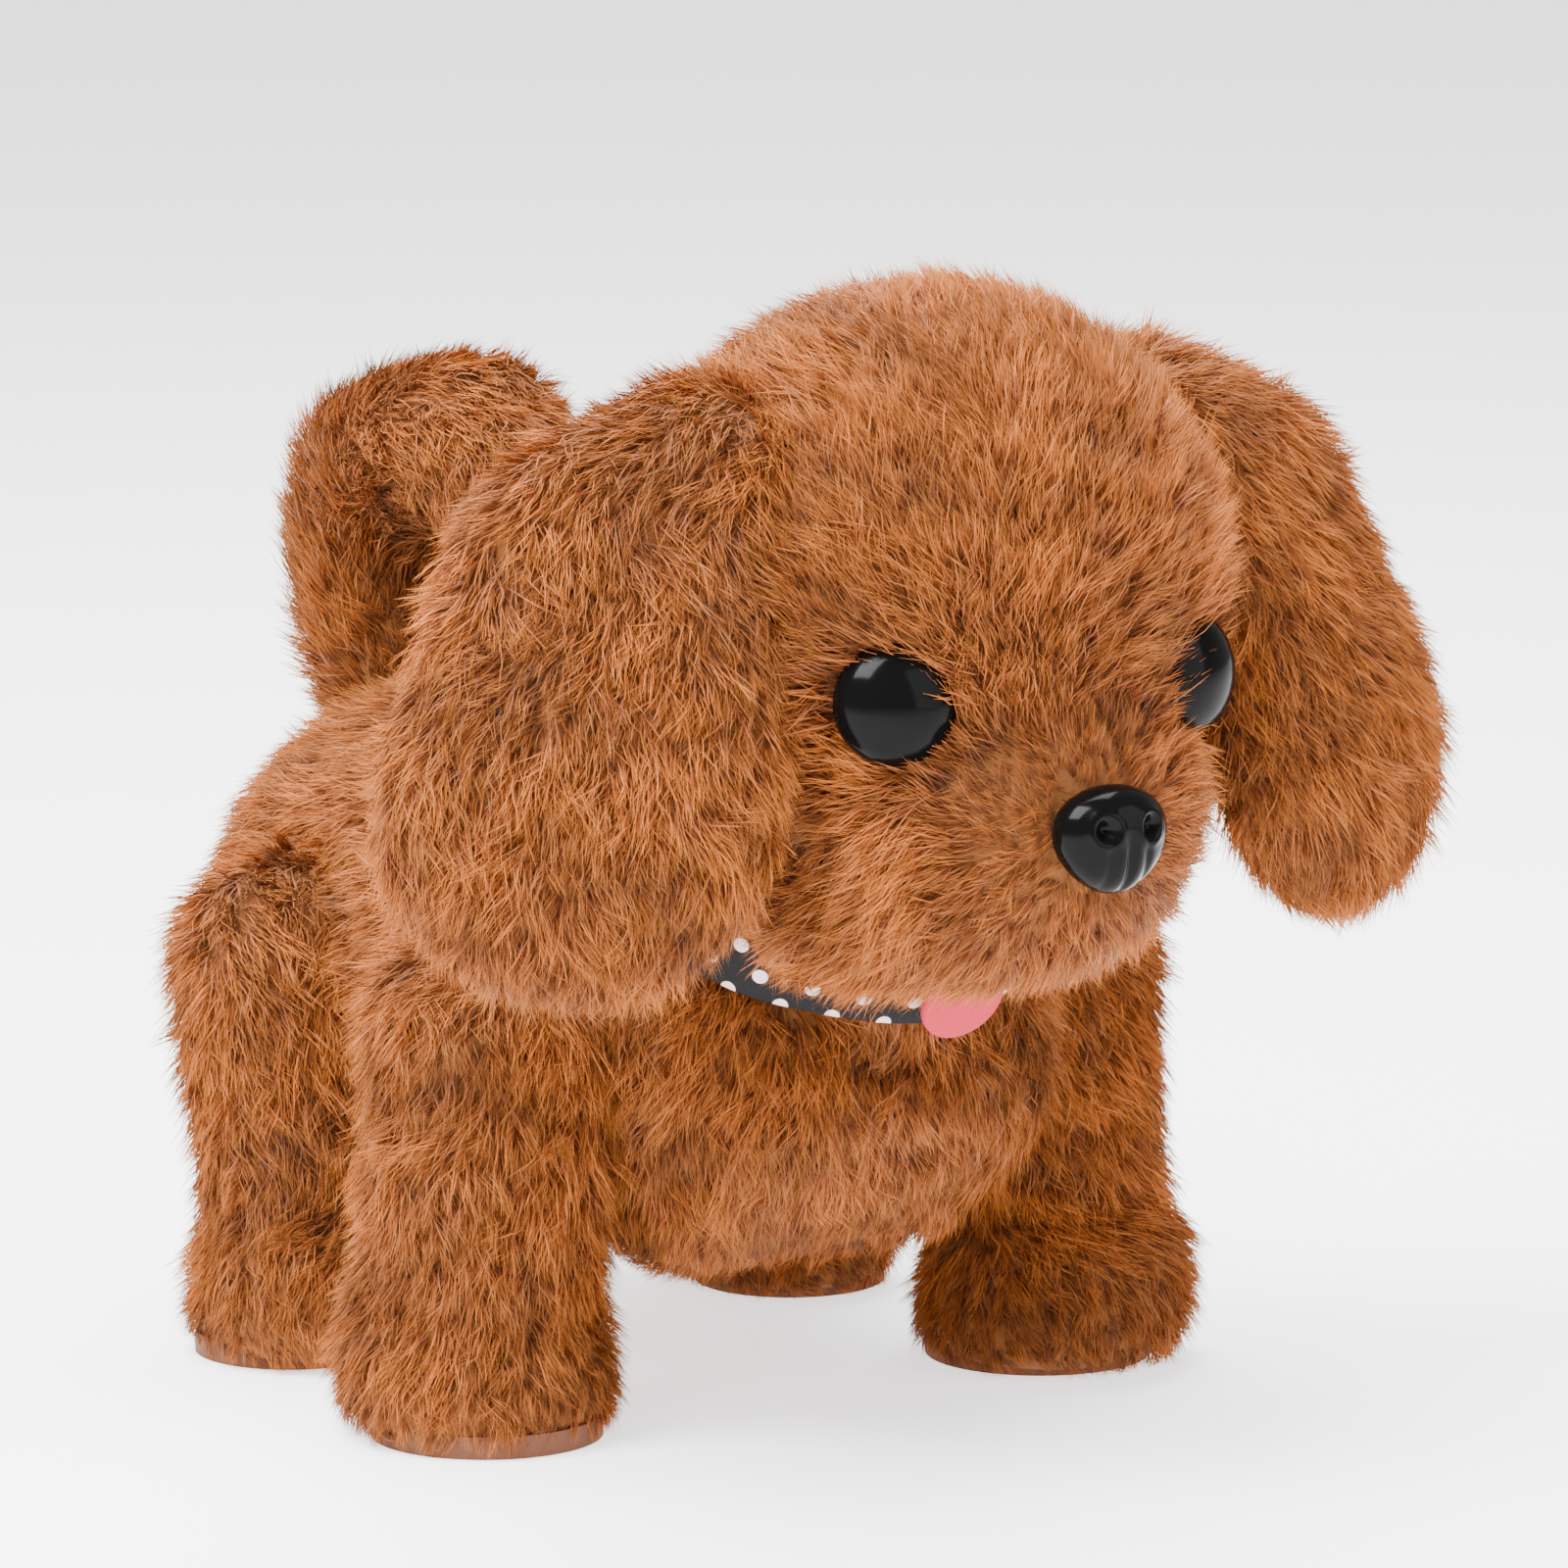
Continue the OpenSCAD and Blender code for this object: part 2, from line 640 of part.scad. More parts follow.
module neck_pin() {
    color("silver") rod_x(-cheek_x - cheek_t - 0.6, cheek_x + cheek_t + 0.6, neck_yz, neck_pin_r);
}

// Anything drawn along local X from the neck pivot in the side view
module from_neck(x0, dir) {
    along_x(x0, neck_yz, dir) children();
}

module head_yoke() {
    color("whitesmoke") difference() {
        union() {
            for (s = [-1, 1]) left_right(s) {
                rod_x(cheek_x, cheek_x + cheek_t, neck_yz, neck_pin_r + 3);
                from_neck(cheek_x, yoke_dir) translate([0, -4, 0]) cube([6.2, 8, cheek_t]);
            }
            translate([0, neck_yz[0], neck_yz[1]]) rotate([yoke_dir - 90, 0, 0]) translate([0, 0, 5.6]) {
                cylinder(r = plug_r + 2, h = 2.2);
                cylinder(r = plug_r - 0.1, h = 6);
            }
            from_neck(-cheek_x - cheek_t, nod_dir) {
                translate([0, -3, 0]) cube([nod_len - nod_throw - nod_disc_r - 2, 6, cheek_t]);
                difference() {
                    translate([nod_len - nod_throw - nod_disc_r - 3.5, -nod_slot_half - 2.4, 0])
                        cube([nod_throw + nod_disc_r + 5, 2 * nod_slot_half + 4.8, cheek_t]);
                    translate([nod_len - nod_throw - nod_disc_r - 1, -nod_slot_half, -1])
                        cube([40, 2 * nod_slot_half, cheek_t + 2]);
                }
            }
        }
        rod_x(-20, 20, neck_yz, neck_pin_r + run_gap);
    }
}

module skull_half(side) {
    left_right(side) difference() {
        translate([0, skull_yz[0], skull_yz[1]]) sphere(skull_r, $fn = 64);
        translate([0, skull_yz[0], skull_yz[1]]) sphere(skull_r - wall, $fn = 64);
        block([-100, -200, 0], [0, 100, 300]);
        translate([0, neck_yz[0], neck_yz[1]]) rotate([yoke_dir - 90, 0, 0]) cylinder(r = plug_r, h = 20);
    }
}

module skull_left() {
    color("whitesmoke") skull_half(1);
}

module skull_right() {
    color("whitesmoke") skull_half(-1);
}

module touch_sensor() {
    color("silver") translate([0, skull_yz[0], skull_yz[1] + skull_r + 1.4]) cylinder(r = 8, h = 0.8);
}

module eye_place(side) {
    left_right(side) translate(eye_at) rotate([eye_turn[0], 0, eye_turn[1]]) rotate([90, 0, 0]) children();
}

module eye(side) {
    color("black") eye_place(side) {
        intersection() {
            translate([0, 0, eye_rise - eye_ball_r]) sphere(eye_ball_r);
            cylinder(r = eye_d, h = eye_d);
        }
        translate([0, 0, -9]) cylinder(r = 2, h = 9);
    }
}

module eye_washers() {
    color("white") for (s = [-1, 1]) eye_place(s) difference() {
        translate([0, 0, -6]) cylinder(r = 6, h = 1.4);
        translate([0, 0, -7]) cylinder(r = 2, h = 4);
    }
}

module nose() {
    color("black") difference() {
        union() {
            ellipsoid(nose_at, nose_r);
            translate(nose_at) rotate([-90, 0, 0]) cylinder(r = 2, h = 14);
        }
        for (s = [-1, 1]) translate(nose_at + [s * 3.4, -5.6, -0.4]) sphere(1.5, $fn = 20);
    }
}

module nose_washer() {
    color("white") difference() {
        translate(nose_at + [0, 9, 0]) rotate([-90, 0, 0]) cylinder(r = 5, h = 1.4);
        translate(nose_at) rotate([-90, 0, 0]) cylinder(r = 2, h = 14);
    }
}

module tongue() {
    color("hotpink") translate([0, muzzle_yz[0] + 3, muzzle_yz[1] - muzzle_r[2] + 2]) rotate([-62, 0, 0])
        translate([0, 0, -0.8]) {
            cylinder(r = 6, h = 1.6);
            block([-6, 0, 0], [6, 6, 1.6]);
        }
}

module head_form(grow) {
    ellipsoid([0, head_yz[0], head_yz[1]], [head_w / 2 + grow, head_len / 2 + grow, head_h / 2 + grow]);
    ellipsoid([0, muzzle_yz[0], muzzle_yz[1]], muzzle_r + [grow, grow, grow]);
}

// Space that the nodding head sweeps through in the chest
module head_sweep() {
    head_form(nod_room);
}

module plush_head() {
    color("peru") difference() {
        head_form(0);
        // skull, neck and yoke
        translate([0, skull_yz[0], skull_yz[1]]) sphere(skull_r + soft_gap);
        translate([0, skull_yz[0], skull_yz[1] + skull_r]) cylinder(r = 8.4, h = 3);
        collar_place() translate([0, 0, -60]) cylinder(r = collar_r + 3, h = 60 + collar_w / 2 + 5);
        collar_place() cylinder(r = 21, h = 30);
        for (s = [-1, 1]) eye_place(s) {
            translate([0, 0, -0.1]) cylinder(r = eye_d / 2 + 0.1, h = eye_d, $fn = 24);
            translate([0, 0, -9.2]) cylinder(r = 6.2, h = 4.8);
            translate([0, 0, -9.2]) cylinder(r = 2.1, h = 10);
        }
        ellipsoid(nose_at, nose_r + [0.2, 0.2, 0.2]);
        translate(nose_at) rotate([-90, 0, 0]) cylinder(r = 5.2, h = 14.4);
        translate([0, muzzle_yz[0] + 3, muzzle_yz[1] - muzzle_r[2] + 2]) rotate([-62, 0, 0]) {
            translate([0, 0, -1]) cylinder(r = 6.2, h = 2);
            block([-6.2, 0, -1], [6.2, 6.2, 1]);
        }
    }
}

module plush_ear(side) {
    color("peru") left_right(side) difference() {
        translate(ear_at) rotate([0, 0, -ear_yaw]) rotate([0, -ear_flare, 0])
            hull() {
                ellipsoid([-ear_t * 0.35, 0, ear_len * 0.28], [ear_t * 0.45, ear_w * 0.3, ear_len * 0.22]);
                ellipsoid([0, 0, -ear_len * 0.18], [ear_t / 2, ear_w / 2, ear_len * 0.32]);
            }
        head_form(1.5);
    }
}

// ---------- tail ----------

module tail_lever() {
    color("whitesmoke") difference() {
        union() {
            translate([0, tail_y, crank_z - 4]) cylinder(r = tail_hub_r, h = roof_z + 5 - crank_z + 4);
            block([-6, crank_y + wag_touch + 3, crank_z - 2], [6, tail_y, crank_z + 2]);
            for (s = [-1, 1]) left_right(s)
                block([3.4, crank_y + wag_touch - 2, crank_z - 2], [6, crank_y + wag_touch + 4, crank_z + 2]);
            block([-3, tail_y, roof_z + 2], [3, tail_curl[0][0] + 1, roof_z + 5]);
            translate([0, tail_curl[0][0] - 1, roof_z + 2]) cylinder(r = 3, h = 22);
        }
        translate([0, tail_y, crank_z - 6]) cylinder(r = tail_pin_d / 2 + run_gap, h = roof_z - crank_z + 5);
        block([-3.4, crank_y, crank_z - 5], [3.4, crank_y + wag_touch + 3.6, crank_z + 5]);
    }
}

module plush_tail() {
    color("peru") difference() {
        for (i = [0 : len(tail_curl) - 2]) hull() for (k = [i, i + 1])
            translate([0, tail_curl[k][0], tail_curl[k][1]]) scale([1.1, 1, 1]) sphere(tail_curl[k][2], $fn = 28);
        translate([0, tail_curl[0][0] - 1, roof_z]) cylinder(r = 3.3, h = 24.4);
    }
}

housing_left();
housing_right();
housing_screws();
hip_screws();
hip_washers();
motor();
motor_cradle();
motor_shaft();
motor_pinion();
compound_gear();
gear_axle();
crank_gear();
crank_shaft();
crank_arm(1);  // crank_arm_left
crank_arm(-1);  // crank_arm_right
nod_eccentric();
wag_disc();
battery_box();
batteries();
battery_contacts();
battery_cover();
cover_screw();
circuit_board();
speaker();
switch_body();
switch_knob();
leg_frame(1, false);  // leg_frame_front_left
leg_frame(-1, false);  // leg_frame_front_right
leg_frame(1, true);  // leg_frame_rear_left
leg_frame(-1, true);  // leg_frame_rear_right
paw_sole(1, false);  // paw_sole_front_left
paw_sole(-1, false);  // paw_sole_front_right
paw_sole(1, true);  // paw_sole_rear_left
paw_sole(-1, true);  // paw_sole_rear_right
plush_leg(1, false);  // plush_leg_front_left
plush_leg(-1, false);  // plush_leg_front_right
plush_leg(1, true);  // plush_leg_rear_left
plush_leg(-1, true);  // plush_leg_rear_right
plush_torso();
collar();
neck_post();
neck_pin();
head_yoke();
skull_left();
skull_right();
touch_sensor();
eye(1);  // eye_left
eye(-1);  // eye_right
eye_washers();
nose();
nose_washer();
tongue();
plush_head();
plush_ear(1);  // plush_ear_left
plush_ear(-1);  // plush_ear_right
tail_boss();
tail_pin();
tail_lever();
plush_tail();
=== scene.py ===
import json
import math
import random

import bmesh
import bpy
import numpy as np
from mathutils import Euler, Matrix, Vector, noise

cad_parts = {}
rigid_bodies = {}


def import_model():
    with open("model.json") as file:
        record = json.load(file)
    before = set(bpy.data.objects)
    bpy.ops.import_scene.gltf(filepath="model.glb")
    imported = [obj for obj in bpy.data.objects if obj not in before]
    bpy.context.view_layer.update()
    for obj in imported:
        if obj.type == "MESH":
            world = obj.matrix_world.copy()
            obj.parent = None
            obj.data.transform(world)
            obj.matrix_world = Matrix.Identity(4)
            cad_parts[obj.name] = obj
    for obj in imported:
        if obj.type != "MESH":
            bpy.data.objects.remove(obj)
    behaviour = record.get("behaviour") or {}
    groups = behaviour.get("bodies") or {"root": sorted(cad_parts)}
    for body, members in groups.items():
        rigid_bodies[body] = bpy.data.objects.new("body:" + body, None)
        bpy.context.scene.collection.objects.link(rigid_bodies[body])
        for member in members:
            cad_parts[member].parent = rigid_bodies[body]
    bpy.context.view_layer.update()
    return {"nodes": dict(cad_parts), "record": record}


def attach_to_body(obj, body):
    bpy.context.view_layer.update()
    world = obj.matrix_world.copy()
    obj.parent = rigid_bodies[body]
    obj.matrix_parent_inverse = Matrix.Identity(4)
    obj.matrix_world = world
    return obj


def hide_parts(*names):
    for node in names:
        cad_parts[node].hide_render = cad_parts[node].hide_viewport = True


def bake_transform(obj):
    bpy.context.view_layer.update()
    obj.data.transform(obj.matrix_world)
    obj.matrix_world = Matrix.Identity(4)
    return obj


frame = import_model()
nodes = frame["nodes"]
print("stage: frame loaded")


# ---- small helpers ----

def point(p):
    return Vector(p) / 1000


def meshPiece(name, bm, material=None, smooth=True):
    mesh = bpy.data.meshes.new(name)
    bm.to_mesh(mesh)
    bm.free()
    for face in mesh.polygons:
        face.use_smooth = smooth
    piece = bpy.data.objects.new(name, mesh)
    bpy.context.scene.collection.objects.link(piece)
    if material:
        mesh.materials.append(material)
    return piece


def bakeModifiers(piece):
    graph = bpy.context.evaluated_depsgraph_get()
    done = bpy.data.meshes.new_from_object(piece.evaluated_get(graph))
    done.name = piece.name
    piece.modifiers.clear()
    piece.data = done
    return piece


# ---- camera, light and floor ----

view = {"azimuth": -33, "elevation": 10, "distance": 1.4, "aim": (17.9, 10.4, 76.6), "width": 210.5}


def backFrom(azimuth, elevation):
    a = math.radians(azimuth)
    e = math.radians(elevation)
    return Vector((math.sin(a) * math.cos(e), -math.cos(a) * math.cos(e), math.sin(e)))


camData = bpy.data.cameras.new("camera")
camData.sensor_width = 36
camData.lens = 36 * view["distance"] * 1000 / view["width"]
camera = bpy.data.objects.new("camera", camData)
back = backFrom(view["azimuth"], view["elevation"])
camera.location = point(view["aim"]) + back * view["distance"]
camera.rotation_euler = (-back).to_track_quat("-Z", "Y").to_euler()
bpy.context.scene.collection.objects.link(camera)
bpy.context.scene.camera = camera

lamps = {
    "key": {"azimuth": -75, "elevation": 56, "distance": 0.9, "size": 0.55, "power": 34.0},
    "fill": {"azimuth": 25, "elevation": 22, "distance": 1.0, "size": 0.8, "power": 7.0},
    "top": {"azimuth": 150, "elevation": 68, "distance": 0.9, "size": 0.7, "power": 26.0},
}
for lampName, lamp in lamps.items():
    data = bpy.data.lights.new(lampName, "AREA")
    data.shape = "SQUARE"
    data.size = lamp["size"]
    data.energy = lamp["power"]
    light = bpy.data.objects.new(lampName, data)
    away = backFrom(lamp["azimuth"], lamp["elevation"])
    light.location = point((0, 10, 70)) + away * lamp["distance"]
    light.rotation_euler = (-away).to_track_quat("-Z", "Y").to_euler()
    bpy.context.scene.collection.objects.link(light)

world = bpy.data.worlds.new("studio")
bpy.context.scene.world = world
world.use_nodes = True
sky = world.node_tree.nodes["Background"]
sky.inputs["Color"].default_value = (1, 1, 1, 1)
sky.inputs["Strength"].default_value = 0.6

bm = bmesh.new()
bmesh.ops.create_grid(bm, x_segments=1, y_segments=1, size=4)
floorMat = bpy.data.materials.new("floorPaper")
floorMat.use_nodes = True
paper = floorMat.node_tree.nodes["Principled BSDF"]
paper.inputs["Base Color"].default_value = (0.92, 0.92, 0.92, 1)
paper.inputs["Roughness"].default_value = 0.9
paper.inputs["Emission Color"].default_value = (1, 1, 1, 1)
paper.inputs["Emission Strength"].default_value = 1.5
floor = meshPiece("floor", bm, floorMat, False)
print("stage: camera and light")


# ---- shader node groups and materials ----

def groupWith(name, ins, outs):
    tree = bpy.data.node_groups.new(name, "ShaderNodeTree")
    for kind, label, value in ins:
        socket = tree.interface.new_socket(label, in_out="INPUT", socket_type=kind)
        if value is not None:
            socket.default_value = value
    for kind, label in outs:
        tree.interface.new_socket(label, in_out="OUTPUT", socket_type=kind)
    source = tree.nodes.new("NodeGroupInput")
    sink = tree.nodes.new("NodeGroupOutput")
    return tree, source, sink


def mathNode(tree, operation, a, b=None, c=None):
    node = tree.nodes.new("ShaderNodeMath")
    node.operation = operation
    for slot, value in enumerate((a, b, c)):
        if value is None:
            continue
        if isinstance(value, (int, float)):
            node.inputs[slot].default_value = value
        else:
            tree.links.new(value, node.inputs[slot])
    return node.outputs[0]


def mixColour(tree, factor, a, b, blend="MIX"):
    node = tree.nodes.new("ShaderNodeMix")
    node.data_type = "RGBA"
    node.blend_type = blend
    for socket, value in ((node.inputs[0], factor), (node.inputs[6], a), (node.inputs[7], b)):
        if isinstance(value, (int, float)):
            socket.default_value = value
        elif isinstance(value, tuple):
            socket.default_value = (*value, 1)
        else:
            tree.links.new(value, socket)
    return node.outputs[2]


# strand colour from a root-to-tip ramp, darkest at the root as painted shade deep in the pile, times a random tone per
# tuft
def makePileToneRootShade():
    tree, source, sink = groupWith(
        "pileTone",
        [("NodeSocketColor", "Root", (0.12, 0.04, 0.012, 1)), ("NodeSocketColor", "Middle", (0.4, 0.18, 0.07, 1)),
         ("NodeSocketColor", "Tip", (0.7, 0.4, 0.22, 1)), ("NodeSocketFloat", "Spread", 0.25)],
        [("NodeSocketColor", "Colour")])
    uv = tree.nodes.new("ShaderNodeUVMap")
    uv.uv_map = "OFBake"
    split = tree.nodes.new("ShaderNodeSeparateXYZ")
    tree.links.new(uv.outputs[0], split.inputs[0])
    rise = split.outputs[1]
    # painted shade: the colour darkens from the middle colour to the root colour over the lower part of each strand
    low = mathNode(tree, "MULTIPLY", rise, 2.2)
    low.node.use_clamp = True
    high = mathNode(tree, "MULTIPLY_ADD", rise, 1.8, -0.8)
    high.node.use_clamp = True
    base = mixColour(tree, low, source.outputs["Root"], source.outputs["Middle"])
    base = mixColour(tree, high, base, source.outputs["Tip"])
    swing = mathNode(tree, "SUBTRACT", split.outputs[0], 0.5)
    swing = mathNode(tree, "MULTIPLY", swing, source.outputs["Spread"])
    gain = mathNode(tree, "ADD", swing, 1.0)
    scale = tree.nodes.new("ShaderNodeVectorMath")
    scale.operation = "SCALE"
    tree.links.new(base, scale.inputs[0])
    tree.links.new(gain, scale.inputs["Scale"])
    tree.links.new(scale.outputs[0], sink.inputs[0])
    return tree


pileTone = makePileToneRootShade()


def addGroup(mat, tree, **values):
    node = mat.node_tree.nodes.new("ShaderNodeGroup")
    node.node_tree = tree
    for label, value in values.items():
        node.inputs[label.replace("_", " ")].default_value = value
    return node


# the root colour is painted shade deep in the pile; the tip colour is the pile's own colour
furLook = {"Root": (0.04, 0.007, 0.0008, 1), "Middle": (0.21, 0.047, 0.004, 1), "Tip": (0.47, 0.14, 0.017, 1),
           "Spread": 0.8}


def makeFurMaterial():
    mat = bpy.data.materials.new("plushPile")
    mat.use_nodes = True
    shader = mat.node_tree.nodes["Principled BSDF"]
    tone = addGroup(mat, pileTone, **furLook)
    mat.node_tree.links.new(tone.outputs[0], shader.inputs["Base Color"])
    shader.inputs["Roughness"].default_value = 0.62
    shader.inputs["Specular IOR Level"].default_value = 0.25
    shader.inputs["Sheen Weight"].default_value = 0.12
    shader.inputs["Sheen Roughness"].default_value = 0.5
    shader.inputs["Sheen Tint"].default_value = (1, 0.62, 0.36, 1)
    return mat


# speckled tone, roughness and fine bump for moulded, drawn and woven parts
def makeGrain():
    tree, source, sink = groupWith(
        "surfaceGrain",
        [("NodeSocketColor", "Colour", (0.5, 0.5, 0.5, 1)), ("NodeSocketColor", "Worn", (0.6, 0.6, 0.6, 1)),
         ("NodeSocketFloat", "Scale", 900.0), ("NodeSocketFloat", "Amount", 0.3),
         ("NodeSocketFloat", "Roughness", 0.5)],
        [("NodeSocketColor", "Colour"), ("NodeSocketFloat", "Roughness"), ("NodeSocketFloat", "Height")])
    coord = tree.nodes.new("ShaderNodeTexCoord")
    fine = tree.nodes.new("ShaderNodeTexNoise")
    fine.inputs["Detail"].default_value = 3
    broad = tree.nodes.new("ShaderNodeTexNoise")
    broad.inputs["Scale"].default_value = 60
    tree.links.new(coord.outputs["Object"], fine.inputs["Vector"])
    tree.links.new(source.outputs["Scale"], fine.inputs["Scale"])
    tree.links.new(coord.outputs["Object"], broad.inputs["Vector"])
    patch = mathNode(tree, "MULTIPLY", broad.outputs["Fac"], source.outputs["Amount"])
    speck = mathNode(tree, "MULTIPLY", fine.outputs["Fac"], source.outputs["Amount"])
    both = mathNode(tree, "ADD", patch, speck)
    colour = mixColour(tree, both, source.outputs["Colour"], source.outputs["Worn"])
    rough = mathNode(tree, "MULTIPLY_ADD", patch, 0.3, source.outputs["Roughness"])
    tree.links.new(colour, sink.inputs["Colour"])
    tree.links.new(rough, sink.inputs["Roughness"])
    tree.links.new(fine.outputs["Fac"], sink.inputs["Height"])
    return tree


surfaceGrain = makeGrain()


def grainMaterial(name, look):
    mat = bpy.data.materials.new(name)
    mat.use_nodes = True
    links = mat.node_tree.links
    shader = mat.node_tree.nodes["Principled BSDF"]
    grain = addGroup(mat, surfaceGrain, Colour=(*look["colour"], 1), Worn=(*look["worn"], 1),
                     Scale=look.get("scale", 900.0), Amount=look.get("amount", 0.3),
                     Roughness=look["rough"])
    links.new(grain.outputs["Colour"], shader.inputs["Base Color"])
    links.new(grain.outputs["Roughness"], shader.inputs["Roughness"])
    bump = mat.node_tree.nodes.new("ShaderNodeBump")
    bump.inputs["Strength"].default_value = look.get("bump", 0.15)
    bump.inputs["Distance"].default_value = 0.0002
    links.new(grain.outputs["Height"], bump.inputs["Height"])
    links.new(bump.outputs[0], shader.inputs["Normal"])
    shader.inputs["Metallic"].default_value = look.get("metal", 0.0)
    shader.inputs["Specular IOR Level"].default_value = look.get("specular", 0.5)
    shader.inputs["Coat Weight"].default_value = look.get("coat", 0.0)
    shader.inputs["Coat Roughness"].default_value = 0.06
    shader.inputs["Sheen Weight"].default_value = look.get("sheen", 0.0)
    return mat


finishes = {
    "housing_plastic": {"colour": (0.78, 0.77, 0.74), "worn": (0.62, 0.6, 0.56), "rough": 0.42},
    "gear_plastic": {"colour": (0.86, 0.85, 0.8), "worn": (0.7, 0.68, 0.6), "rough": 0.35},
    "black_plastic": {"colour": (0.002, 0.002, 0.002), "worn": (0.003, 0.003, 0.003), "rough": 0.1,
                      "specular": 0.06, "bump": 0.01, "scale": 500.0},
    "dark_plastic": {"colour": (0.03, 0.03, 0.032), "worn": (0.07, 0.07, 0.07), "rough": 0.45},
    "steel": {"colour": (0.6, 0.6, 0.6), "worn": (0.4, 0.4, 0.42), "rough": 0.28, "metal": 1.0},
    "motor_steel": {"colour": (0.5, 0.5, 0.52), "worn": (0.33, 0.33, 0.35), "rough": 0.36, "metal": 1.0},
    "board": {"colour": (0.03, 0.2, 0.08), "worn": (0.06, 0.28, 0.12), "rough": 0.4, "scale": 1500.0},
    "cell_wrap": {"colour": (0.5, 0.33, 0.1), "worn": (0.36, 0.22, 0.06), "rough": 0.3, "coat": 0.4},
    "sole_rubber": {"colour": (0.1, 0.028, 0.008), "worn": (0.17, 0.05, 0.014), "rough": 0.7, "bump": 0.5},
    "collar_fabric": {"colour": (0.02, 0.02, 0.02), "worn": (0.05, 0.05, 0.05), "rough": 0.8},
    "tongue_felt": {"colour": (0.36, 0.014, 0.03), "worn": (0.46, 0.03, 0.055), "rough": 0.9,
                    "scale": 2600.0, "bump": 0.7, "amount": 0.7, "specular": 0.2},
    "fur": {"colour": (0.1, 0.028, 0.005), "worn": (0.19, 0.06, 0.01), "rough": 0.9, "scale": 1400.0,
            "bump": 0.8, "amount": 0.8},
}
mats = {slot: grainMaterial(slot + "_finish", look) for slot, look in finishes.items()}
furMat = makeFurMaterial()

slotOf = {}
for entry in frame["record"]["subparts"]:
    slotOf[entry["node"]] = entry["material_slot"]
for nodeName, cadNode in nodes.items():
    finish = mats[slotOf.get(nodeName, "housing_plastic")]
    for index in range(max(1, len(cadNode.data.materials))):
        if len(cadNode.data.materials) <= index:
            cadNode.data.materials.append(finish)
        cadNode.material_slots[index].material = finish
print("stage: materials")


# ---- stuffed forms under the pile ----

def addBlob(bm, at, radii, turn=(0, 0, 0)):
    place = (Matrix.Translation(point(at)) @ Euler([math.radians(a) for a in turn]).to_matrix().to_4x4()
             @ Matrix.Diagonal((*point(radii), 1)))
    return bmesh.ops.create_uvsphere(bm, u_segments=28, v_segments=18, radius=1, matrix=place)["verts"]


def addHull(bm, blobs):
    part = bmesh.new()
    for blob in blobs:
        addBlob(part, *blob)
    if len(blobs) > 1:
        bmesh.ops.delete(part, geom=part.edges[:], context="EDGES_FACES")
        wrap = bmesh.ops.convex_hull(part, input=part.verts[:])
        loose = set(wrap["geom_interior"] + wrap["geom_unused"])
        bmesh.ops.delete(part, geom=[v for v in part.verts if v in loose], context="VERTS")
    joinMesh(bm, part)


def joinMesh(bm, part):
    mesh = bpy.data.meshes.new("part")
    part.to_mesh(mesh)
    part.free()
    bm.from_mesh(mesh)
    bpy.data.meshes.remove(mesh)


def softSkin(name, bm, voxel=2.6, rounds=6):
    skin = meshPiece(name, bm, mats["fur"])
    remesh = skin.modifiers.new("remesh", "REMESH")
    remesh.mode = "VOXEL"
    remesh.voxel_size = voxel / 1000
    ease = skin.modifiers.new("ease", "SMOOTH")
    ease.iterations = rounds
    ease.factor = 0.5
    return bakeModifiers(skin)


def puffSkins(skins, cap=1.6, pressure=4.0):
    starts = []
    for skin in skins:
        starts.append(np.array([v.co for v in skin.data.vertices]))
        cloth = skin.modifiers.new("cloth", "CLOTH")
        cloth.settings.quality = 4
        cloth.settings.mass = 0.3
        cloth.settings.use_pressure = True
        cloth.settings.uniform_pressure_force = pressure
        cloth.settings.effector_weights.gravity = 0
        cloth.collision_settings.use_collision = False
        cloth.point_cache.frame_start = 1
        cloth.point_cache.frame_end = 20
    for step in range(1, 21):
        bpy.context.scene.frame_set(step)
    graph = bpy.context.evaluated_depsgraph_get()
    swollen = [np.array([v.co for v in skin.evaluated_get(graph).data.vertices]) for skin in skins]
    for skin, start, end in zip(skins, starts, swollen):
        skin.modifiers.clear()
        move = end - start
        reach = np.linalg.norm(move, axis=1, keepdims=True)
        move *= np.minimum(1, cap / 1000 / np.maximum(reach, 1e-9))
        skin.data.vertices.foreach_set("co", (start + move).astype(np.float32).ravel())
        skin.data.update()
    bpy.context.scene.frame_set(1)


legs = {
    "front_left": {"side": 1, "hip": -13, "track": 43.5, "paw": (20, 20, 16), "step": -4.5, "inboard": 0},
    "front_right": {"side": -1, "hip": -13, "track": 43.5, "paw": (20, 20, 16), "step": 3.5, "inboard": 0},
    "rear_left": {"side": 1, "hip": 43, "track": 40, "paw": (17.4, 19, 16), "step": 0, "inboard": 1.5},
    "rear_right": {"side": -1, "hip": 43, "track": 40, "paw": (17.4, 19, 16), "step": -3.5, "inboard": 1},
}
torsoForm = {"inset": 4.6, "collarAt": (0, -27, 76), "collarTilt": 27, "neckRadius": 26}
headForm = {"inset": 4.4, "skull": ((0, -50, 114), (43, 39, 41)), "muzzle": ((0, -66, 87), (31, 27, 26)),
            "jaw": [((13, -58, 75), (16, 14, 10)), ((-13, -58, 75), (16, 14, 10))], "nape": ((0, -34, 92), (18, 14, 12))}
earForm = {"at": (55, -57, 105), "yaw": 62, "flare": 9,
           "blobs": [((0, 1.5, -14.8), (8.5, 24, 22.5)), ((-4, 1, 15), (6.5, 15, 15))], "root": (34, -50, 132)}
tailForm = {"inset": 4.2, "curl": [(77, 80, 13), (81, 92, 14), (82.5, 104, 14.5), (78, 114, 15), (63, 119, 14), (50, 113, 10)]}


def shrunk(radii, inset):
    return tuple(r - inset for r in radii)


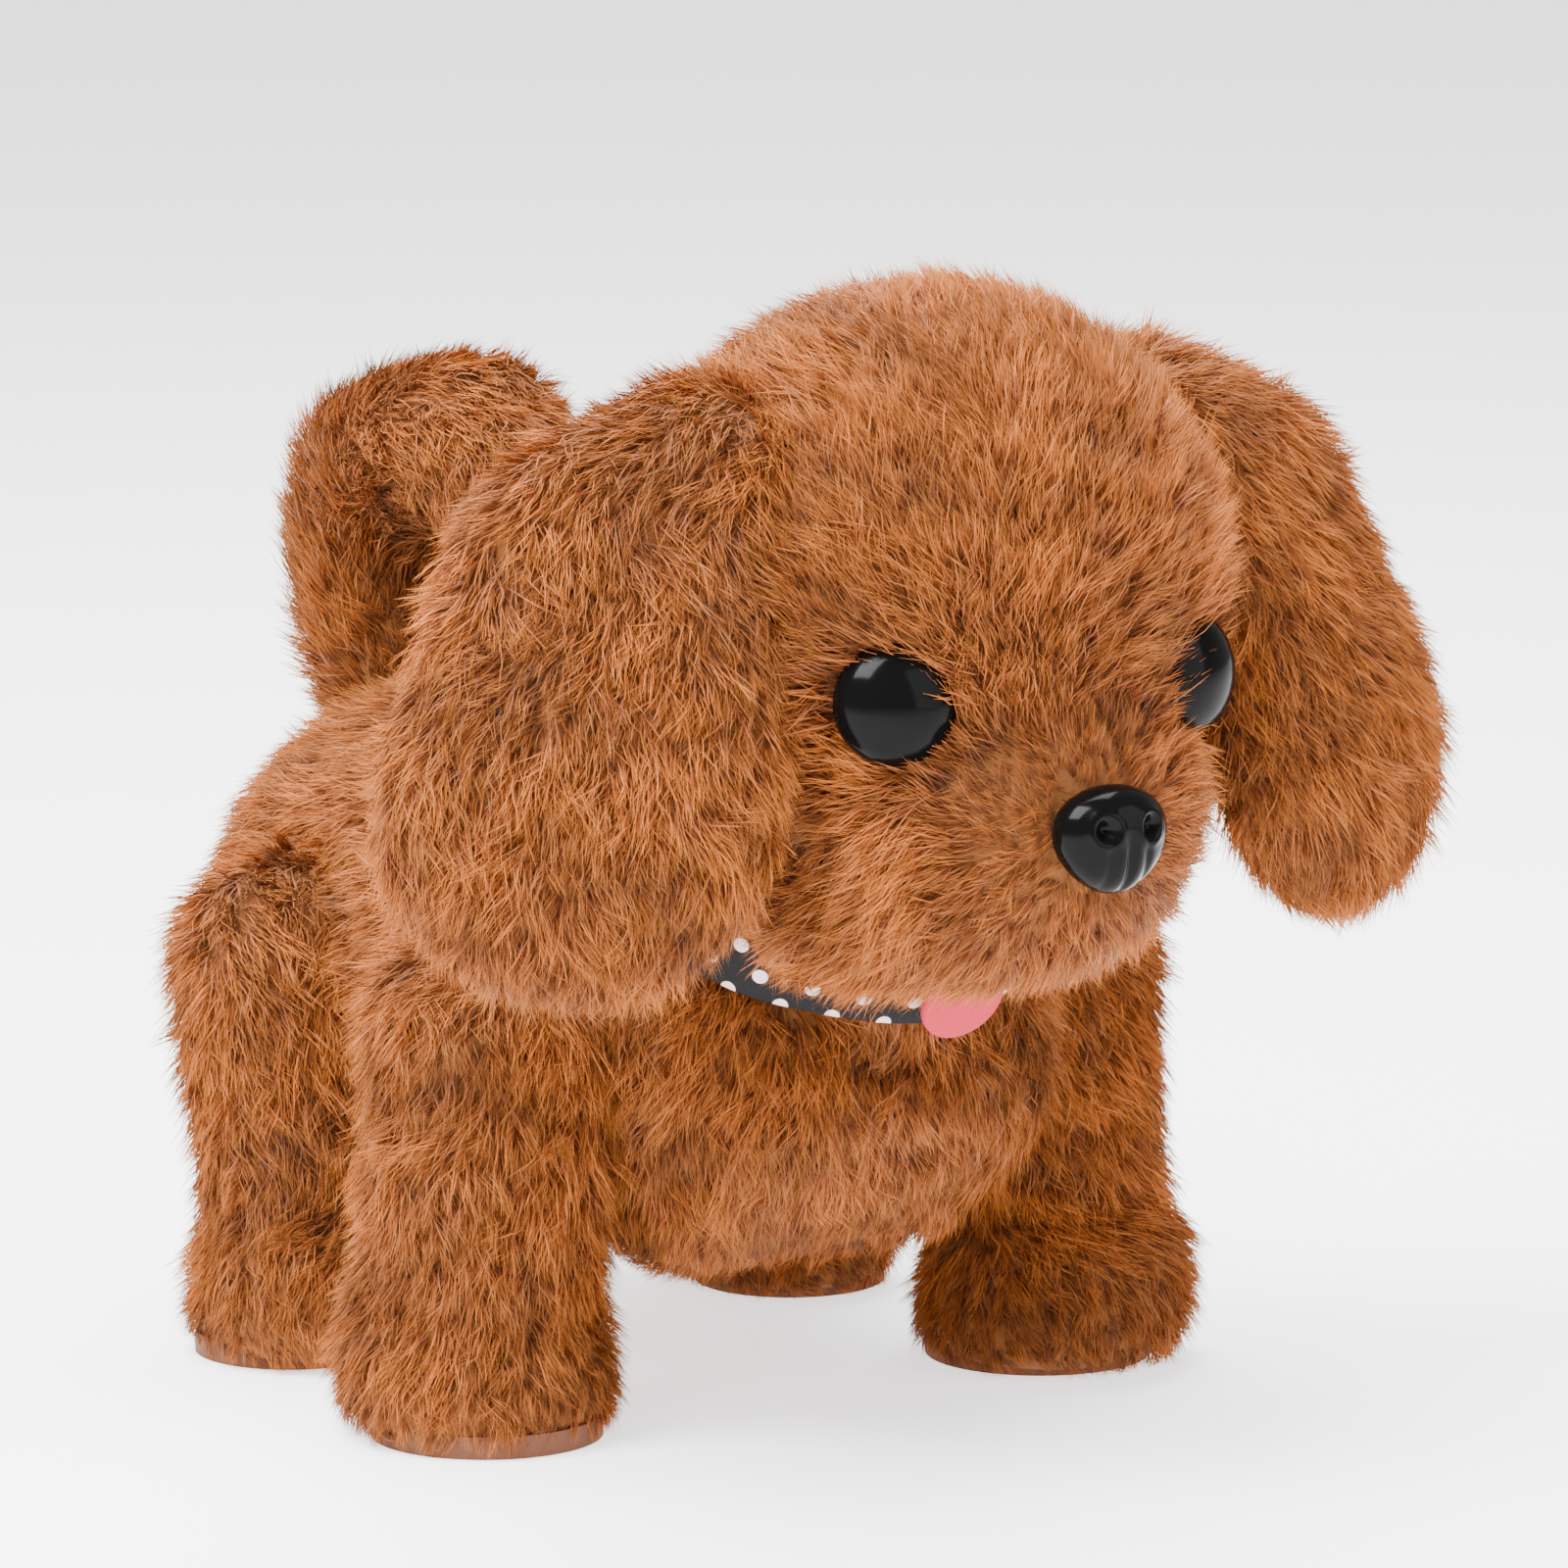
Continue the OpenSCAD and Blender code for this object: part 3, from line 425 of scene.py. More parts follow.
def makeTorso():
    inset = torsoForm["inset"]
    tilt = math.radians(torsoForm["collarTilt"])
    axis = Vector((0, -math.sin(tilt), math.cos(tilt)))
    bm = bmesh.new()
    addHull(bm, [((0, -4, 60), shrunk((47, 42, 42), inset)), ((0, 56, 54), shrunk((43, 38, 36), inset)),
                 ((19, -20, 24.5), (4.5, 4.5, 4.5)), ((-19, -20, 24.5), (4.5, 4.5, 4.5)),
                 ((19, 69, 26.5), (4.5, 4.5, 4.5)), ((-19, 69, 26.5), (4.5, 4.5, 4.5)),
                 ((17, -36.5, 68), (7, 7, 7)), ((-17, -36.5, 68), (7, 7, 7)),
                 ((18, -37, 44), (8, 8, 8)), ((-18, -37, 44), (8, 8, 8))])
    cut = bmesh.ops.bisect_plane(bm, geom=bm.verts[:] + bm.edges[:] + bm.faces[:], dist=1e-6,
                                 plane_co=point(torsoForm["collarAt"]) - axis * 0.0075, plane_no=axis,
                                 clear_outer=True)
    rim = [g for g in cut["geom_cut"] if isinstance(g, bmesh.types.BMEdge)]
    bmesh.ops.holes_fill(bm, edges=rim)
    neck = bmesh.new()
    place = (Matrix.Translation(point(torsoForm["collarAt"]) - axis * 0.008)
             @ Euler((tilt, 0, 0)).to_matrix().to_4x4())
    bmesh.ops.create_cone(neck, cap_ends=True, segments=40, radius1=torsoForm["neckRadius"] / 1000,
                          radius2=torsoForm["neckRadius"] / 1000, depth=0.03, matrix=place)
    joinMesh(bm, neck)
    return softSkin("torso_skin", bm)


def makeHead():
    bm = bmesh.new()
    for at, radii in (headForm["skull"], headForm["muzzle"]):
        addHull(bm, [(at, shrunk(radii, headForm["inset"]))])
    addHull(bm, headForm["jaw"])
    addHull(bm, [headForm["nape"]])
    return softSkin("head_skin", bm)


def makeEar(side):
    name = "left" if side > 0 else "right"
    turn = (0, -earForm["flare"] * side, -earForm["yaw"] * side)
    swing = Euler([math.radians(a) for a in turn]).to_matrix()
    at = Vector(earForm["at"])
    at.x *= side
    bm = bmesh.new()
    addHull(bm, [(at + swing @ Vector((spot[0] * side, spot[1], spot[2])), radii, turn)
                 for spot, radii in earForm["blobs"]]
            + [((earForm["root"][0] * side, *earForm["root"][1:]), (10, 13, 9))])
    return softSkin("ear_" + name + "_skin", bm, 2.0, 3)


def makeLeg(name, leg):
    side = leg["side"]
    pawX = (leg["track"] - leg["inboard"]) * side
    bm = bmesh.new()
    addHull(bm, [((36 * side, leg["hip"], 54), (8, 14, 14)),
                 (((leg["track"] + 6) * side, leg["hip"], 53), (8, 11, 12)),
                 ((pawX, leg["hip"] + leg["step"] * 0.4, 22), shrunk(leg["paw"], 6.0))])
    addHull(bm, [((pawX, leg["hip"] + leg["step"], 14), shrunk(leg["paw"], 4.4)),
                 ((pawX, leg["hip"] + leg["step"] * 0.6, 4.2), (leg["paw"][0] - 2.6, leg["paw"][1] - 2.6, 6))])
    bmesh.ops.bisect_plane(bm, geom=bm.verts[:] + bm.edges[:] + bm.faces[:], dist=1e-6,
                           plane_co=(0, 0, 0.0006), plane_no=(0, 0, -1), clear_outer=True)
    bmesh.ops.holes_fill(bm, edges=[e for e in bm.edges if e.is_boundary])
    return softSkin("leg_" + name + "_skin", bm, 2.2, 3)


def makeTail():
    bm = bmesh.new()
    curl = [((0, y, z), (1.4 * (r - tailForm["inset"]), r - tailForm["inset"], r - tailForm["inset"]))
            for y, z, r in tailForm["curl"]]
    for i in range(len(curl) - 1):
        addHull(bm, curl[i:i + 2])
    return softSkin("tail_skin", bm)


skins = {"torso": makeTorso(), "head": makeHead(), "ear_left": makeEar(1), "ear_right": makeEar(-1),
         "tail": makeTail()}
for legName, leg in legs.items():
    skins["leg_" + legName] = makeLeg(legName, leg)
puffSkins(list(skins.values()))
print("stage: stuffed forms", sum(len(s.data.vertices) for s in skins.values()), "points")


# ---- tufts ----

tuftForm = {"kinds": 12, "strands": 12, "length": 6.2, "width": 0.17, "spread": 0.8, "bend": 0.5}


def addStrand(bm, layer, foot, tip, lean, width, tone):
    strip = bmesh.ops.create_grid(bm, x_segments=1, y_segments=2, size=0.5)["verts"]
    across = Vector((math.cos(lean), math.sin(lean), 0)) * width
    rise = {v: v.co.y + 0.5 for v in strip}
    for v in strip:
        t = rise[v]
        side = across * (v.co.x * (1 - 0.35 * t))
        v.co = foot.lerp(tip, t) + side + Vector((-0.9, 0, 0.9)) * (t * (1 - t) * tuftForm["bend"] * 2.2)
    for face in {f for v in strip for f in v.link_faces}:
        for loop in face.loops:
            shift = 0.0025 if (loop.vert.co - foot.lerp(tip, rise[loop.vert])).dot(across) > 0 else -0.0025
            loop[layer].uv = (tone + shift, 0.03 + 0.94 * rise[loop.vert])
    top = [v for v in strip if rise[v] > 0.99]
    bmesh.ops.pointmerge(bm, verts=top, merge_co=(top[0].co + top[1].co) / 2)


def makeTufts(rng):
    stock = bpy.data.collections.new("tuftStock")
    for kind in range(tuftForm["kinds"]):
        bm = bmesh.new()
        layer = bm.loops.layers.uv.new("OFBake")
        clump = Vector((rng.uniform(-0.5, 0.5), rng.uniform(-0.5, 0.5), 0))
        for strand in range(tuftForm["strands"]):
            tone = (min(95, max(0, kind * 8 + rng.randrange(-12, 20))) + 0.5) / 96
            foot = Vector((rng.gauss(0, 1), rng.gauss(0, 1), 0)) * tuftForm["spread"]
            height = tuftForm["length"] * rng.uniform(0.72, 1.1)
            tip = foot * 0.75 + clump + Vector((height * rng.uniform(0.3, 0.6), rng.uniform(-1, 1), height * 0.88))
            addStrand(bm, layer, foot, tip, rng.uniform(0, math.pi), tuftForm["width"], tone)
        bmesh.ops.scale(bm, vec=(0.001, 0.001, 0.001), verts=bm.verts[:])
        mesh = bpy.data.meshes.new("tuft")
        bm.to_mesh(mesh)
        bm.free()
        mesh.materials.append(furMat)
        stock.objects.link(bpy.data.objects.new("tuft%02d" % kind, mesh))
    return stock


tufts = makeTufts(random.Random(7))


def makeScatter():
    tree = bpy.data.node_groups.new("scatterTufts", "GeometryNodeTree")
    tree.is_modifier = True
    tree.interface.new_socket("Skin", in_out="INPUT", socket_type="NodeSocketGeometry")
    tree.interface.new_socket("Density", in_out="INPUT", socket_type="NodeSocketFloat")
    tree.interface.new_socket("Lean", in_out="INPUT", socket_type="NodeSocketFloat")
    tree.interface.new_socket("Seed", in_out="INPUT", socket_type="NodeSocketInt")
    tree.interface.new_socket("Fur", in_out="OUTPUT", socket_type="NodeSocketGeometry")
    new = tree.nodes.new
    link = tree.links.new
    source = new("NodeGroupInput")
    sink = new("NodeGroupOutput")

    def named(label, kind):
        node = new("GeometryNodeInputNamedAttribute")
        node.data_type = kind
        node.inputs[0].default_value = label
        return node.outputs["Attribute"]

    scatter = new("GeometryNodeDistributePointsOnFaces")
    thick = new("ShaderNodeMath")
    thick.operation = "MULTIPLY"
    link(source.outputs["Density"], thick.inputs[0])
    link(named("nap", "FLOAT"), thick.inputs[1])
    link(source.outputs["Skin"], scatter.inputs["Mesh"])
    link(thick.outputs[0], scatter.inputs["Density"])
    link(source.outputs["Seed"], scatter.inputs["Seed"])

    lay = new("ShaderNodeVectorMath")
    lay.operation = "SCALE"
    comb = named("comb", "FLOAT_VECTOR")
    link(comb, lay.inputs[0])
    link(source.outputs["Lean"], lay.inputs["Scale"])
    stand = new("ShaderNodeVectorMath")
    stand.operation = "ADD"
    link(scatter.outputs["Normal"], stand.inputs[0])
    link(lay.outputs[0], stand.inputs[1])
    upright = new("FunctionNodeAlignRotationToVector")
    upright.axis = "Z"
    link(stand.outputs[0], upright.inputs["Vector"])
    forward = new("FunctionNodeAlignRotationToVector")
    forward.axis = "X"
    forward.pivot_axis = "Z"
    link(upright.outputs[0], forward.inputs["Rotation"])
    link(comb, forward.inputs["Vector"])

    def scattered(kind, low, high, seed):
        node = new("FunctionNodeRandomValue")
        node.data_type = kind
        sockets = {"FLOAT_VECTOR": (0, 1, 0), "FLOAT": (2, 3, 1), "INT": (4, 5, 2)}[kind]
        node.inputs[sockets[0]].default_value = low
        node.inputs[sockets[1]].default_value = high
        node.inputs["Seed"].default_value = seed
        return node.outputs[sockets[2]]

    jitter = new("FunctionNodeEulerToRotation")
    link(scattered("FLOAT_VECTOR", (-0.42, -0.42, -0.9), (0.42, 0.42, 0.9), 11), jitter.inputs[0])
    turned = new("FunctionNodeRotateRotation")
    turned.rotation_space = "LOCAL"
    link(forward.outputs[0], turned.inputs[0])
    link(jitter.outputs[0], turned.inputs[1])
    size = new("ShaderNodeMath")
    size.operation = "MULTIPLY"
    link(named("pile", "FLOAT"), size.inputs[0])
    link(scattered("FLOAT", 0.82, 1.2, 12), size.inputs[1])
    pick = new("GeometryNodeCollectionInfo")
    pick.inputs["Collection"].default_value = tufts
    pick.inputs["Separate Children"].default_value = True
    pick.inputs["Reset Children"].default_value = True
    place = new("GeometryNodeInstanceOnPoints")
    place.inputs["Pick Instance"].default_value = True
    link(scatter.outputs["Points"], place.inputs["Points"])
    link(pick.outputs[0], place.inputs["Instance"])
    tone = named("shade", "FLOAT")
    for operation, value in (("MULTIPLY", tuftForm["kinds"] - 1), ("ADD", scattered("FLOAT", -3.0, 3.0, 13)),
                             ("MAXIMUM", 0), ("MINIMUM", tuftForm["kinds"] - 1)):
        step = new("ShaderNodeMath")
        step.operation = operation
        link(tone, step.inputs[0])
        if isinstance(value, (int, float)):
            step.inputs[1].default_value = value
        else:
            link(value, step.inputs[1])
        tone = step.outputs[0]
    link(tone, place.inputs["Instance Index"])
    link(turned.outputs[0], place.inputs["Rotation"])
    link(size.outputs[0], place.inputs["Scale"])
    real = new("GeometryNodeRealizeInstances")
    link(place.outputs[0], real.inputs[0])
    link(real.outputs[0], sink.inputs[0])
    return tree


scatterTree = makeScatter()


def smoothStep(x, low, high):
    t = min(1, max(0, (x - low) / (high - low)))
    return t * t * (3 - 2 * t)


def paintPile(skin, combAt, pileAt, napAt, swirl=0.55):
    mesh = skin.data
    comb, pile, nap, shade = [], [], [], []
    for v in mesh.vertices:
        p = v.co * 1000
        n = v.normal
        d = Vector(combAt(p, n)).normalized()
        d += noise.noise_vector(p / 13) * swirl * 1.3 + noise.noise_vector(p / 5.5 + Vector((40, 0, 0))) * swirl
        d -= n * d.dot(n)
        comb.append(d.normalized() if d.length > 1e-5 else Vector((0, 0, -1)))
        light = min(1, max(0, 0.5 + 0.75 * noise.noise(p / 9) + 0.35 * noise.noise(p / 4)))
        shade.append(light)
        pile.append(pileAt(p) * (0.86 + 0.3 * light))
        nap.append(max(0, napAt(p, n)))
    for label, kind, values in (("comb", "FLOAT_VECTOR", comb), ("pile", "FLOAT", pile), ("nap", "FLOAT", nap),
                                ("shade", "FLOAT", shade)):
        layer = mesh.attributes.new(label, kind, "POINT")
        layer.data.foreach_set("vector" if kind == "FLOAT_VECTOR" else "value",
                               np.array(values, np.float32).ravel())


def growFur(name, skin, keep, density, lean, seed):
    bm = bmesh.new()
    bm.from_mesh(skin.data)
    drop = [f for f in bm.faces if not keep(f.calc_center_median() * 1000)]
    bmesh.ops.delete(bm, geom=drop, context="FACES")
    patch = meshPiece(name, bm)
    grow = patch.modifiers.new("grow", "NODES")
    grow.node_group = scatterTree
    values = {"Density": density * 1e6, "Lean": lean, "Seed": seed}
    for item in scatterTree.interface.items_tree:
        if item.in_out == "INPUT" and item.name in values:
            grow[item.identifier] = values[item.name]
    bakeModifiers(patch)
    for v in patch.data.vertices:
        v.co.z = max(v.co.z, 0.0003)
    for label in ("comb", "pile", "nap", "shade"):
        if label in patch.data.attributes:
            patch.data.attributes.remove(patch.data.attributes[label])
    print("  ", name, len(patch.data.vertices) // 5, "strands,", len(patch.data.uv_layers), "map")
    return patch


noseAt = Vector((0, -92, 87))
eyes = [Vector((22.6, -77.5, 103.6)), Vector((-22.6, -77.5, 103.6))]


def headComb(p, n):
    d = (p - noseAt).normalized()
    cheek = smoothStep(abs(p.x), 14, 36) * smoothStep(-p.z, -112, -88)
    return d + Vector((0, 0.3, -0.9)) * cheek + Vector((0, 0.5, 0)) * smoothStep(p.z, 118, 145)


def headPile(p):
    eyeNear = min((p - e).length for e in eyes)
    return (0.6 + 0.4 * smoothStep((p - noseAt).length, 8, 26)) * (1.15 - 0.15 * smoothStep(eyeNear, 10, 18))


def headNap(p, n):
    eyeNear = min((p - e).length for e in eyes)
    hidden = 0.35 + 0.65 * smoothStep(-p.y, 22, 34) if p.z < 105 else 1
    return (eyeNear > 7.4) * ((p - noseAt).length > 7.5) * hidden


def earComb(p, n):
    high = smoothStep(p.z, 118, 142)
    away = (p - Vector((0, -40, 135))).normalized()
    return Vector((0.1 * (1 if p.x > 0 else -1), 0.1, -1)) * (1 - high) + (away + Vector((0, 0.2, -0.4))) * high


def earNap(p, n):
    return 0.5 if abs(p.x) < 24 else 1.05


def torsoComb(p, n):
    front = smoothStep(-p.y, 5, 35)
    return Vector((0, 0.8 - 0.9 * front, -0.75 - 0.25 * front))


def torsoNap(p, n):
    openBelly = abs(p.x) < 15 and 0 < p.y < 70 and p.z < 26
    underHead = p.z > 76 and p.y < -18
    return 0 if openBelly or underHead else (0.45 if p.z < 30 and n.z < -0.8 else 1)


def legNap(leg):
    def nap(p, n):
        inside = p.x * leg["side"] < 34
        return 0 if p.z < 2.4 and n.z < -0.8 else (0.3 if inside and p.z > 30 else 1)
    return nap


def tailComb(p, n):
    r = p - Vector((0, 66, 104))
    return Vector((0, -r.z, r.y))


furDensity = 0.55
paintPile(skins["head"], headComb, headPile, headNap, 0.5)
paintPile(skins["torso"], torsoComb, lambda p: 0.6 + 0.4 * smoothStep(p.z, 20, 34), torsoNap)
paintPile(skins["tail"], tailComb, lambda p: 1, lambda p, n: 1)
for side in ("left", "right"):
    paintPile(skins["ear_" + side], earComb, lambda p: 1, earNap)
for legName, leg in legs.items():
    paintPile(skins["leg_" + legName], lambda p, n: (0.25 * (1 if p.x > 0 else -1), -0.25, -1),
              lambda p: 0.55 + 0.45 * smoothStep(p.z, 1, 14), legNap(leg))

everything = lambda c: True
furs = {
    "head": [growFur("fur_face", skins["head"], lambda c: c.y < -62, furDensity * 1.15, 0.8, 1),
             growFur("fur_crown", skins["head"], lambda c: c.y >= -62 and c.z > 112, furDensity, 0.85, 2),
             growFur("fur_nape", skins["head"], lambda c: c.y >= -62 and c.z <= 112, furDensity, 0.9, 3)],
    "torso": [growFur("fur_chest", skins["torso"], lambda c: c.y < -8, furDensity, 0.9, 4),
              growFur("fur_flank_left", skins["torso"], lambda c: -8 <= c.y < 48 and c.x > 0, furDensity, 0.9, 5),
              growFur("fur_flank_right", skins["torso"], lambda c: -8 <= c.y < 48 and c.x <= 0, furDensity, 0.9, 6),
              growFur("fur_rump", skins["torso"], lambda c: c.y >= 48, furDensity, 0.9, 7)],
    "tail": [growFur("fur_tail", skins["tail"], everything, furDensity, 0.9, 8)],
    "ear_left": [growFur("fur_ear_left", skins["ear_left"], everything, furDensity * 1.1, 1.0, 9)],
    "ear_right": [growFur("fur_ear_right", skins["ear_right"], everything, furDensity * 1.1, 1.0, 10)],
}
for index, legName in enumerate(legs):
    furs["leg_" + legName] = [growFur("fur_leg_" + legName, skins["leg_" + legName], everything, furDensity, 0.8,
                                      20 + index)]
for child in list(tufts.objects):
    bpy.data.objects.remove(child)
bpy.data.collections.remove(tufts)
print("stage: pile grown")


# ---- collar and tongue ----

collarForm = {"at": (0, -27, 76), "tilt": 27, "radius": 30.6, "width": 12, "thick": 0.7, "dot": 2.0, "pitch": 6.86}


def makeDots():
    tree, source, sink = groupWith(
        "ribbonDots",
        [("NodeSocketColor", "Cloth", (0.012, 0.011, 0.012, 1)), ("NodeSocketColor", "Dot", (0.8, 0.62, 0.6, 1)),
         ("NodeSocketFloat", "Pitch", 5.2), ("NodeSocketFloat", "Dot size", 2.1)],
        [("NodeSocketColor", "Colour"), ("NodeSocketFloat", "Height")])
    uv = tree.nodes.new("ShaderNodeUVMap")
    uv.uv_map = "OFBake"
    split = tree.nodes.new("ShaderNodeSeparateXYZ")
    tree.links.new(uv.outputs[0], split.inputs[0])
    along = mathNode(tree, "MULTIPLY", split.outputs[0], 192.0)
    up = mathNode(tree, "MULTIPLY", split.outputs[1], 12.0)
    pitch = source.outputs["Pitch"]
    nearest = None
    for shift in (0.0, 0.5):
        a = mathNode(tree, "ADD", mathNode(tree, "DIVIDE", along, pitch), shift)
        b = mathNode(tree, "ADD", mathNode(tree, "DIVIDE", up, pitch), shift)
        da = mathNode(tree, "SUBTRACT", mathNode(tree, "FRACT", a), 0.5)
        db = mathNode(tree, "SUBTRACT", mathNode(tree, "FRACT", b), 0.5)
        square = mathNode(tree, "ADD", mathNode(tree, "MULTIPLY", da, da), mathNode(tree, "MULTIPLY", db, db))
        away = mathNode(tree, "MULTIPLY", mathNode(tree, "SQRT", square), pitch)
        nearest = away if nearest is None else mathNode(tree, "MINIMUM", nearest, away)
    edge = mathNode(tree, "SUBTRACT", mathNode(tree, "MULTIPLY", source.outputs["Dot size"], 0.5), nearest)
    mask = mathNode(tree, "MULTIPLY_ADD", edge, 6.0, 0.5)
    mask.node.use_clamp = True
    weft = mathNode(tree, "SINE", mathNode(tree, "MULTIPLY", along, 16.0))
    warp = mathNode(tree, "SINE", mathNode(tree, "MULTIPLY", up, 16.0))
    weave = mathNode(tree, "MULTIPLY", weft, warp)
    colour = mixColour(tree, mask, source.outputs["Cloth"], source.outputs["Dot"])
    shade = mathNode(tree, "MULTIPLY_ADD", weave, 0.12, 0.94)
    scale = tree.nodes.new("ShaderNodeVectorMath")
    scale.operation = "SCALE"
    tree.links.new(colour, scale.inputs[0])
    tree.links.new(shade, scale.inputs["Scale"])
    tree.links.new(scale.outputs[0], sink.inputs["Colour"])
    tree.links.new(weave, sink.inputs["Height"])
    return tree


def makeRibbonMaterial():
    mat = bpy.data.materials.new("dottedRibbon")
    mat.use_nodes = True
    shader = mat.node_tree.nodes["Principled BSDF"]
    dots = addGroup(mat, makeDots(), Pitch=collarForm["pitch"], Dot_size=collarForm["dot"])
    mat.node_tree.links.new(dots.outputs["Colour"], shader.inputs["Base Color"])
    bump = mat.node_tree.nodes.new("ShaderNodeBump")
    bump.inputs["Strength"].default_value = 0.35
    bump.inputs["Distance"].default_value = 0.0001
    mat.node_tree.links.new(dots.outputs["Height"], bump.inputs["Height"])
    mat.node_tree.links.new(bump.outputs[0], shader.inputs["Normal"])
    shader.inputs["Roughness"].default_value = 0.85
    shader.inputs["Specular IOR Level"].default_value = 0.15
    return mat


def makeCollar():
    bm = bmesh.new()
    layer = bm.loops.layers.uv.new("OFBake")
    around = 128
    rings = bmesh.ops.create_circle(bm, cap_ends=False, segments=around, radius=collarForm["radius"] / 1000)
    edges = bm.edges[:]
    levels = 6
    for level in range(levels):
        out = bmesh.ops.extrude_edge_only(bm, edges=edges)["geom"]
        edges = [g for g in out if isinstance(g, bmesh.types.BMEdge)]
        fresh = [g for g in out if isinstance(g, bmesh.types.BMVert)]
        bmesh.ops.translate(bm, verts=fresh, vec=(0, 0, collarForm["width"] / 1000 / levels))
    for face in bm.faces:
        turn = math.atan2(face.calc_center_median().y, face.calc_center_median().x) / (2 * math.pi) + 0.5
        for loop in face.loops:
            u = math.atan2(loop.vert.co.y, loop.vert.co.x) / (2 * math.pi) + 0.5
            u += round(turn - u)
            loop[layer].uv = (u, loop.vert.co.z * 1000 / collarForm["width"])
    for v in bm.verts:
        ripple = 1 + 0.012 * math.sin(7 * math.atan2(v.co.y, v.co.x)) + 0.006 * noise.noise(v.co * 160)
        v.co.x *= ripple
        v.co.y *= ripple
        v.co.z -= collarForm["width"] / 2000
    bmesh.ops.recalc_face_normals(bm, faces=bm.faces[:])
    place = (Matrix.Translation(point(collarForm["at"]))
             @ Euler((math.radians(collarForm["tilt"]), 0, 0)).to_matrix().to_4x4())
    bmesh.ops.transform(bm, matrix=place, verts=bm.verts[:])
    collar = meshPiece("collar_ribbon", bm, makeRibbonMaterial())
    wall = collar.modifiers.new("wall", "SOLIDIFY")
    wall.thickness = collarForm["thick"] / 1000
    wall.offset = 0
    return bakeModifiers(collar)


collar = makeCollar()
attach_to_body(collar, "body")
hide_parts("collar")

tongueForm = {"at": (0, -62.6, 65.6), "tilt": -62, "half": 6.0, "thick": 1.4}


def makeTongue():
    bm = bmesh.new()
    bmesh.ops.create_circle(bm, cap_ends=True, segments=40, radius=tongueForm["half"] / 1000)
    bmesh.ops.translate(bm, verts=[v for v in bm.verts if v.co.y > 1e-6], vec=(0, 0.006, 0))
    for v in bm.verts:
        v.co.x *= 1 if v.co.y > 0 else 0.96
    flat = bm.faces[:]
    top = bmesh.ops.extrude_face_region(bm, geom=flat)["geom"]
    bmesh.ops.translate(bm, verts=[g for g in top if isinstance(g, bmesh.types.BMVert)],
                        vec=(0, 0, tongueForm["thick"] / 1000))
    rims = [e for e in bm.edges if abs(e.verts[0].co.z - e.verts[1].co.z) < 1e-7]
    bmesh.ops.bevel(bm, geom=rims, offset=0.0005, affect="EDGES", segments=3, profile=0.5, material=-1)
    bmesh.ops.recalc_face_normals(bm, faces=bm.faces[:])
    place = (Matrix.Translation(point(tongueForm["at"]))
             @ Euler((math.radians(tongueForm["tilt"]), 0, 0)).to_matrix().to_4x4())
    bmesh.ops.transform(bm, matrix=place, verts=bm.verts[:])
    return meshPiece("tongue_flap", bm, mats["tongue_felt"])


tongue = makeTongue()
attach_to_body(tongue, "head")
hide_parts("tongue")
print("stage: collar and tongue")


# ---- nose ----

noseForm = {"at": (0, -92, 86.5), "half": (7.9, 5.6, 6.9), "nostril": (3.3, 1.9), "pit": 1.5, "rim": 0.35,
            "groove": 0.55}


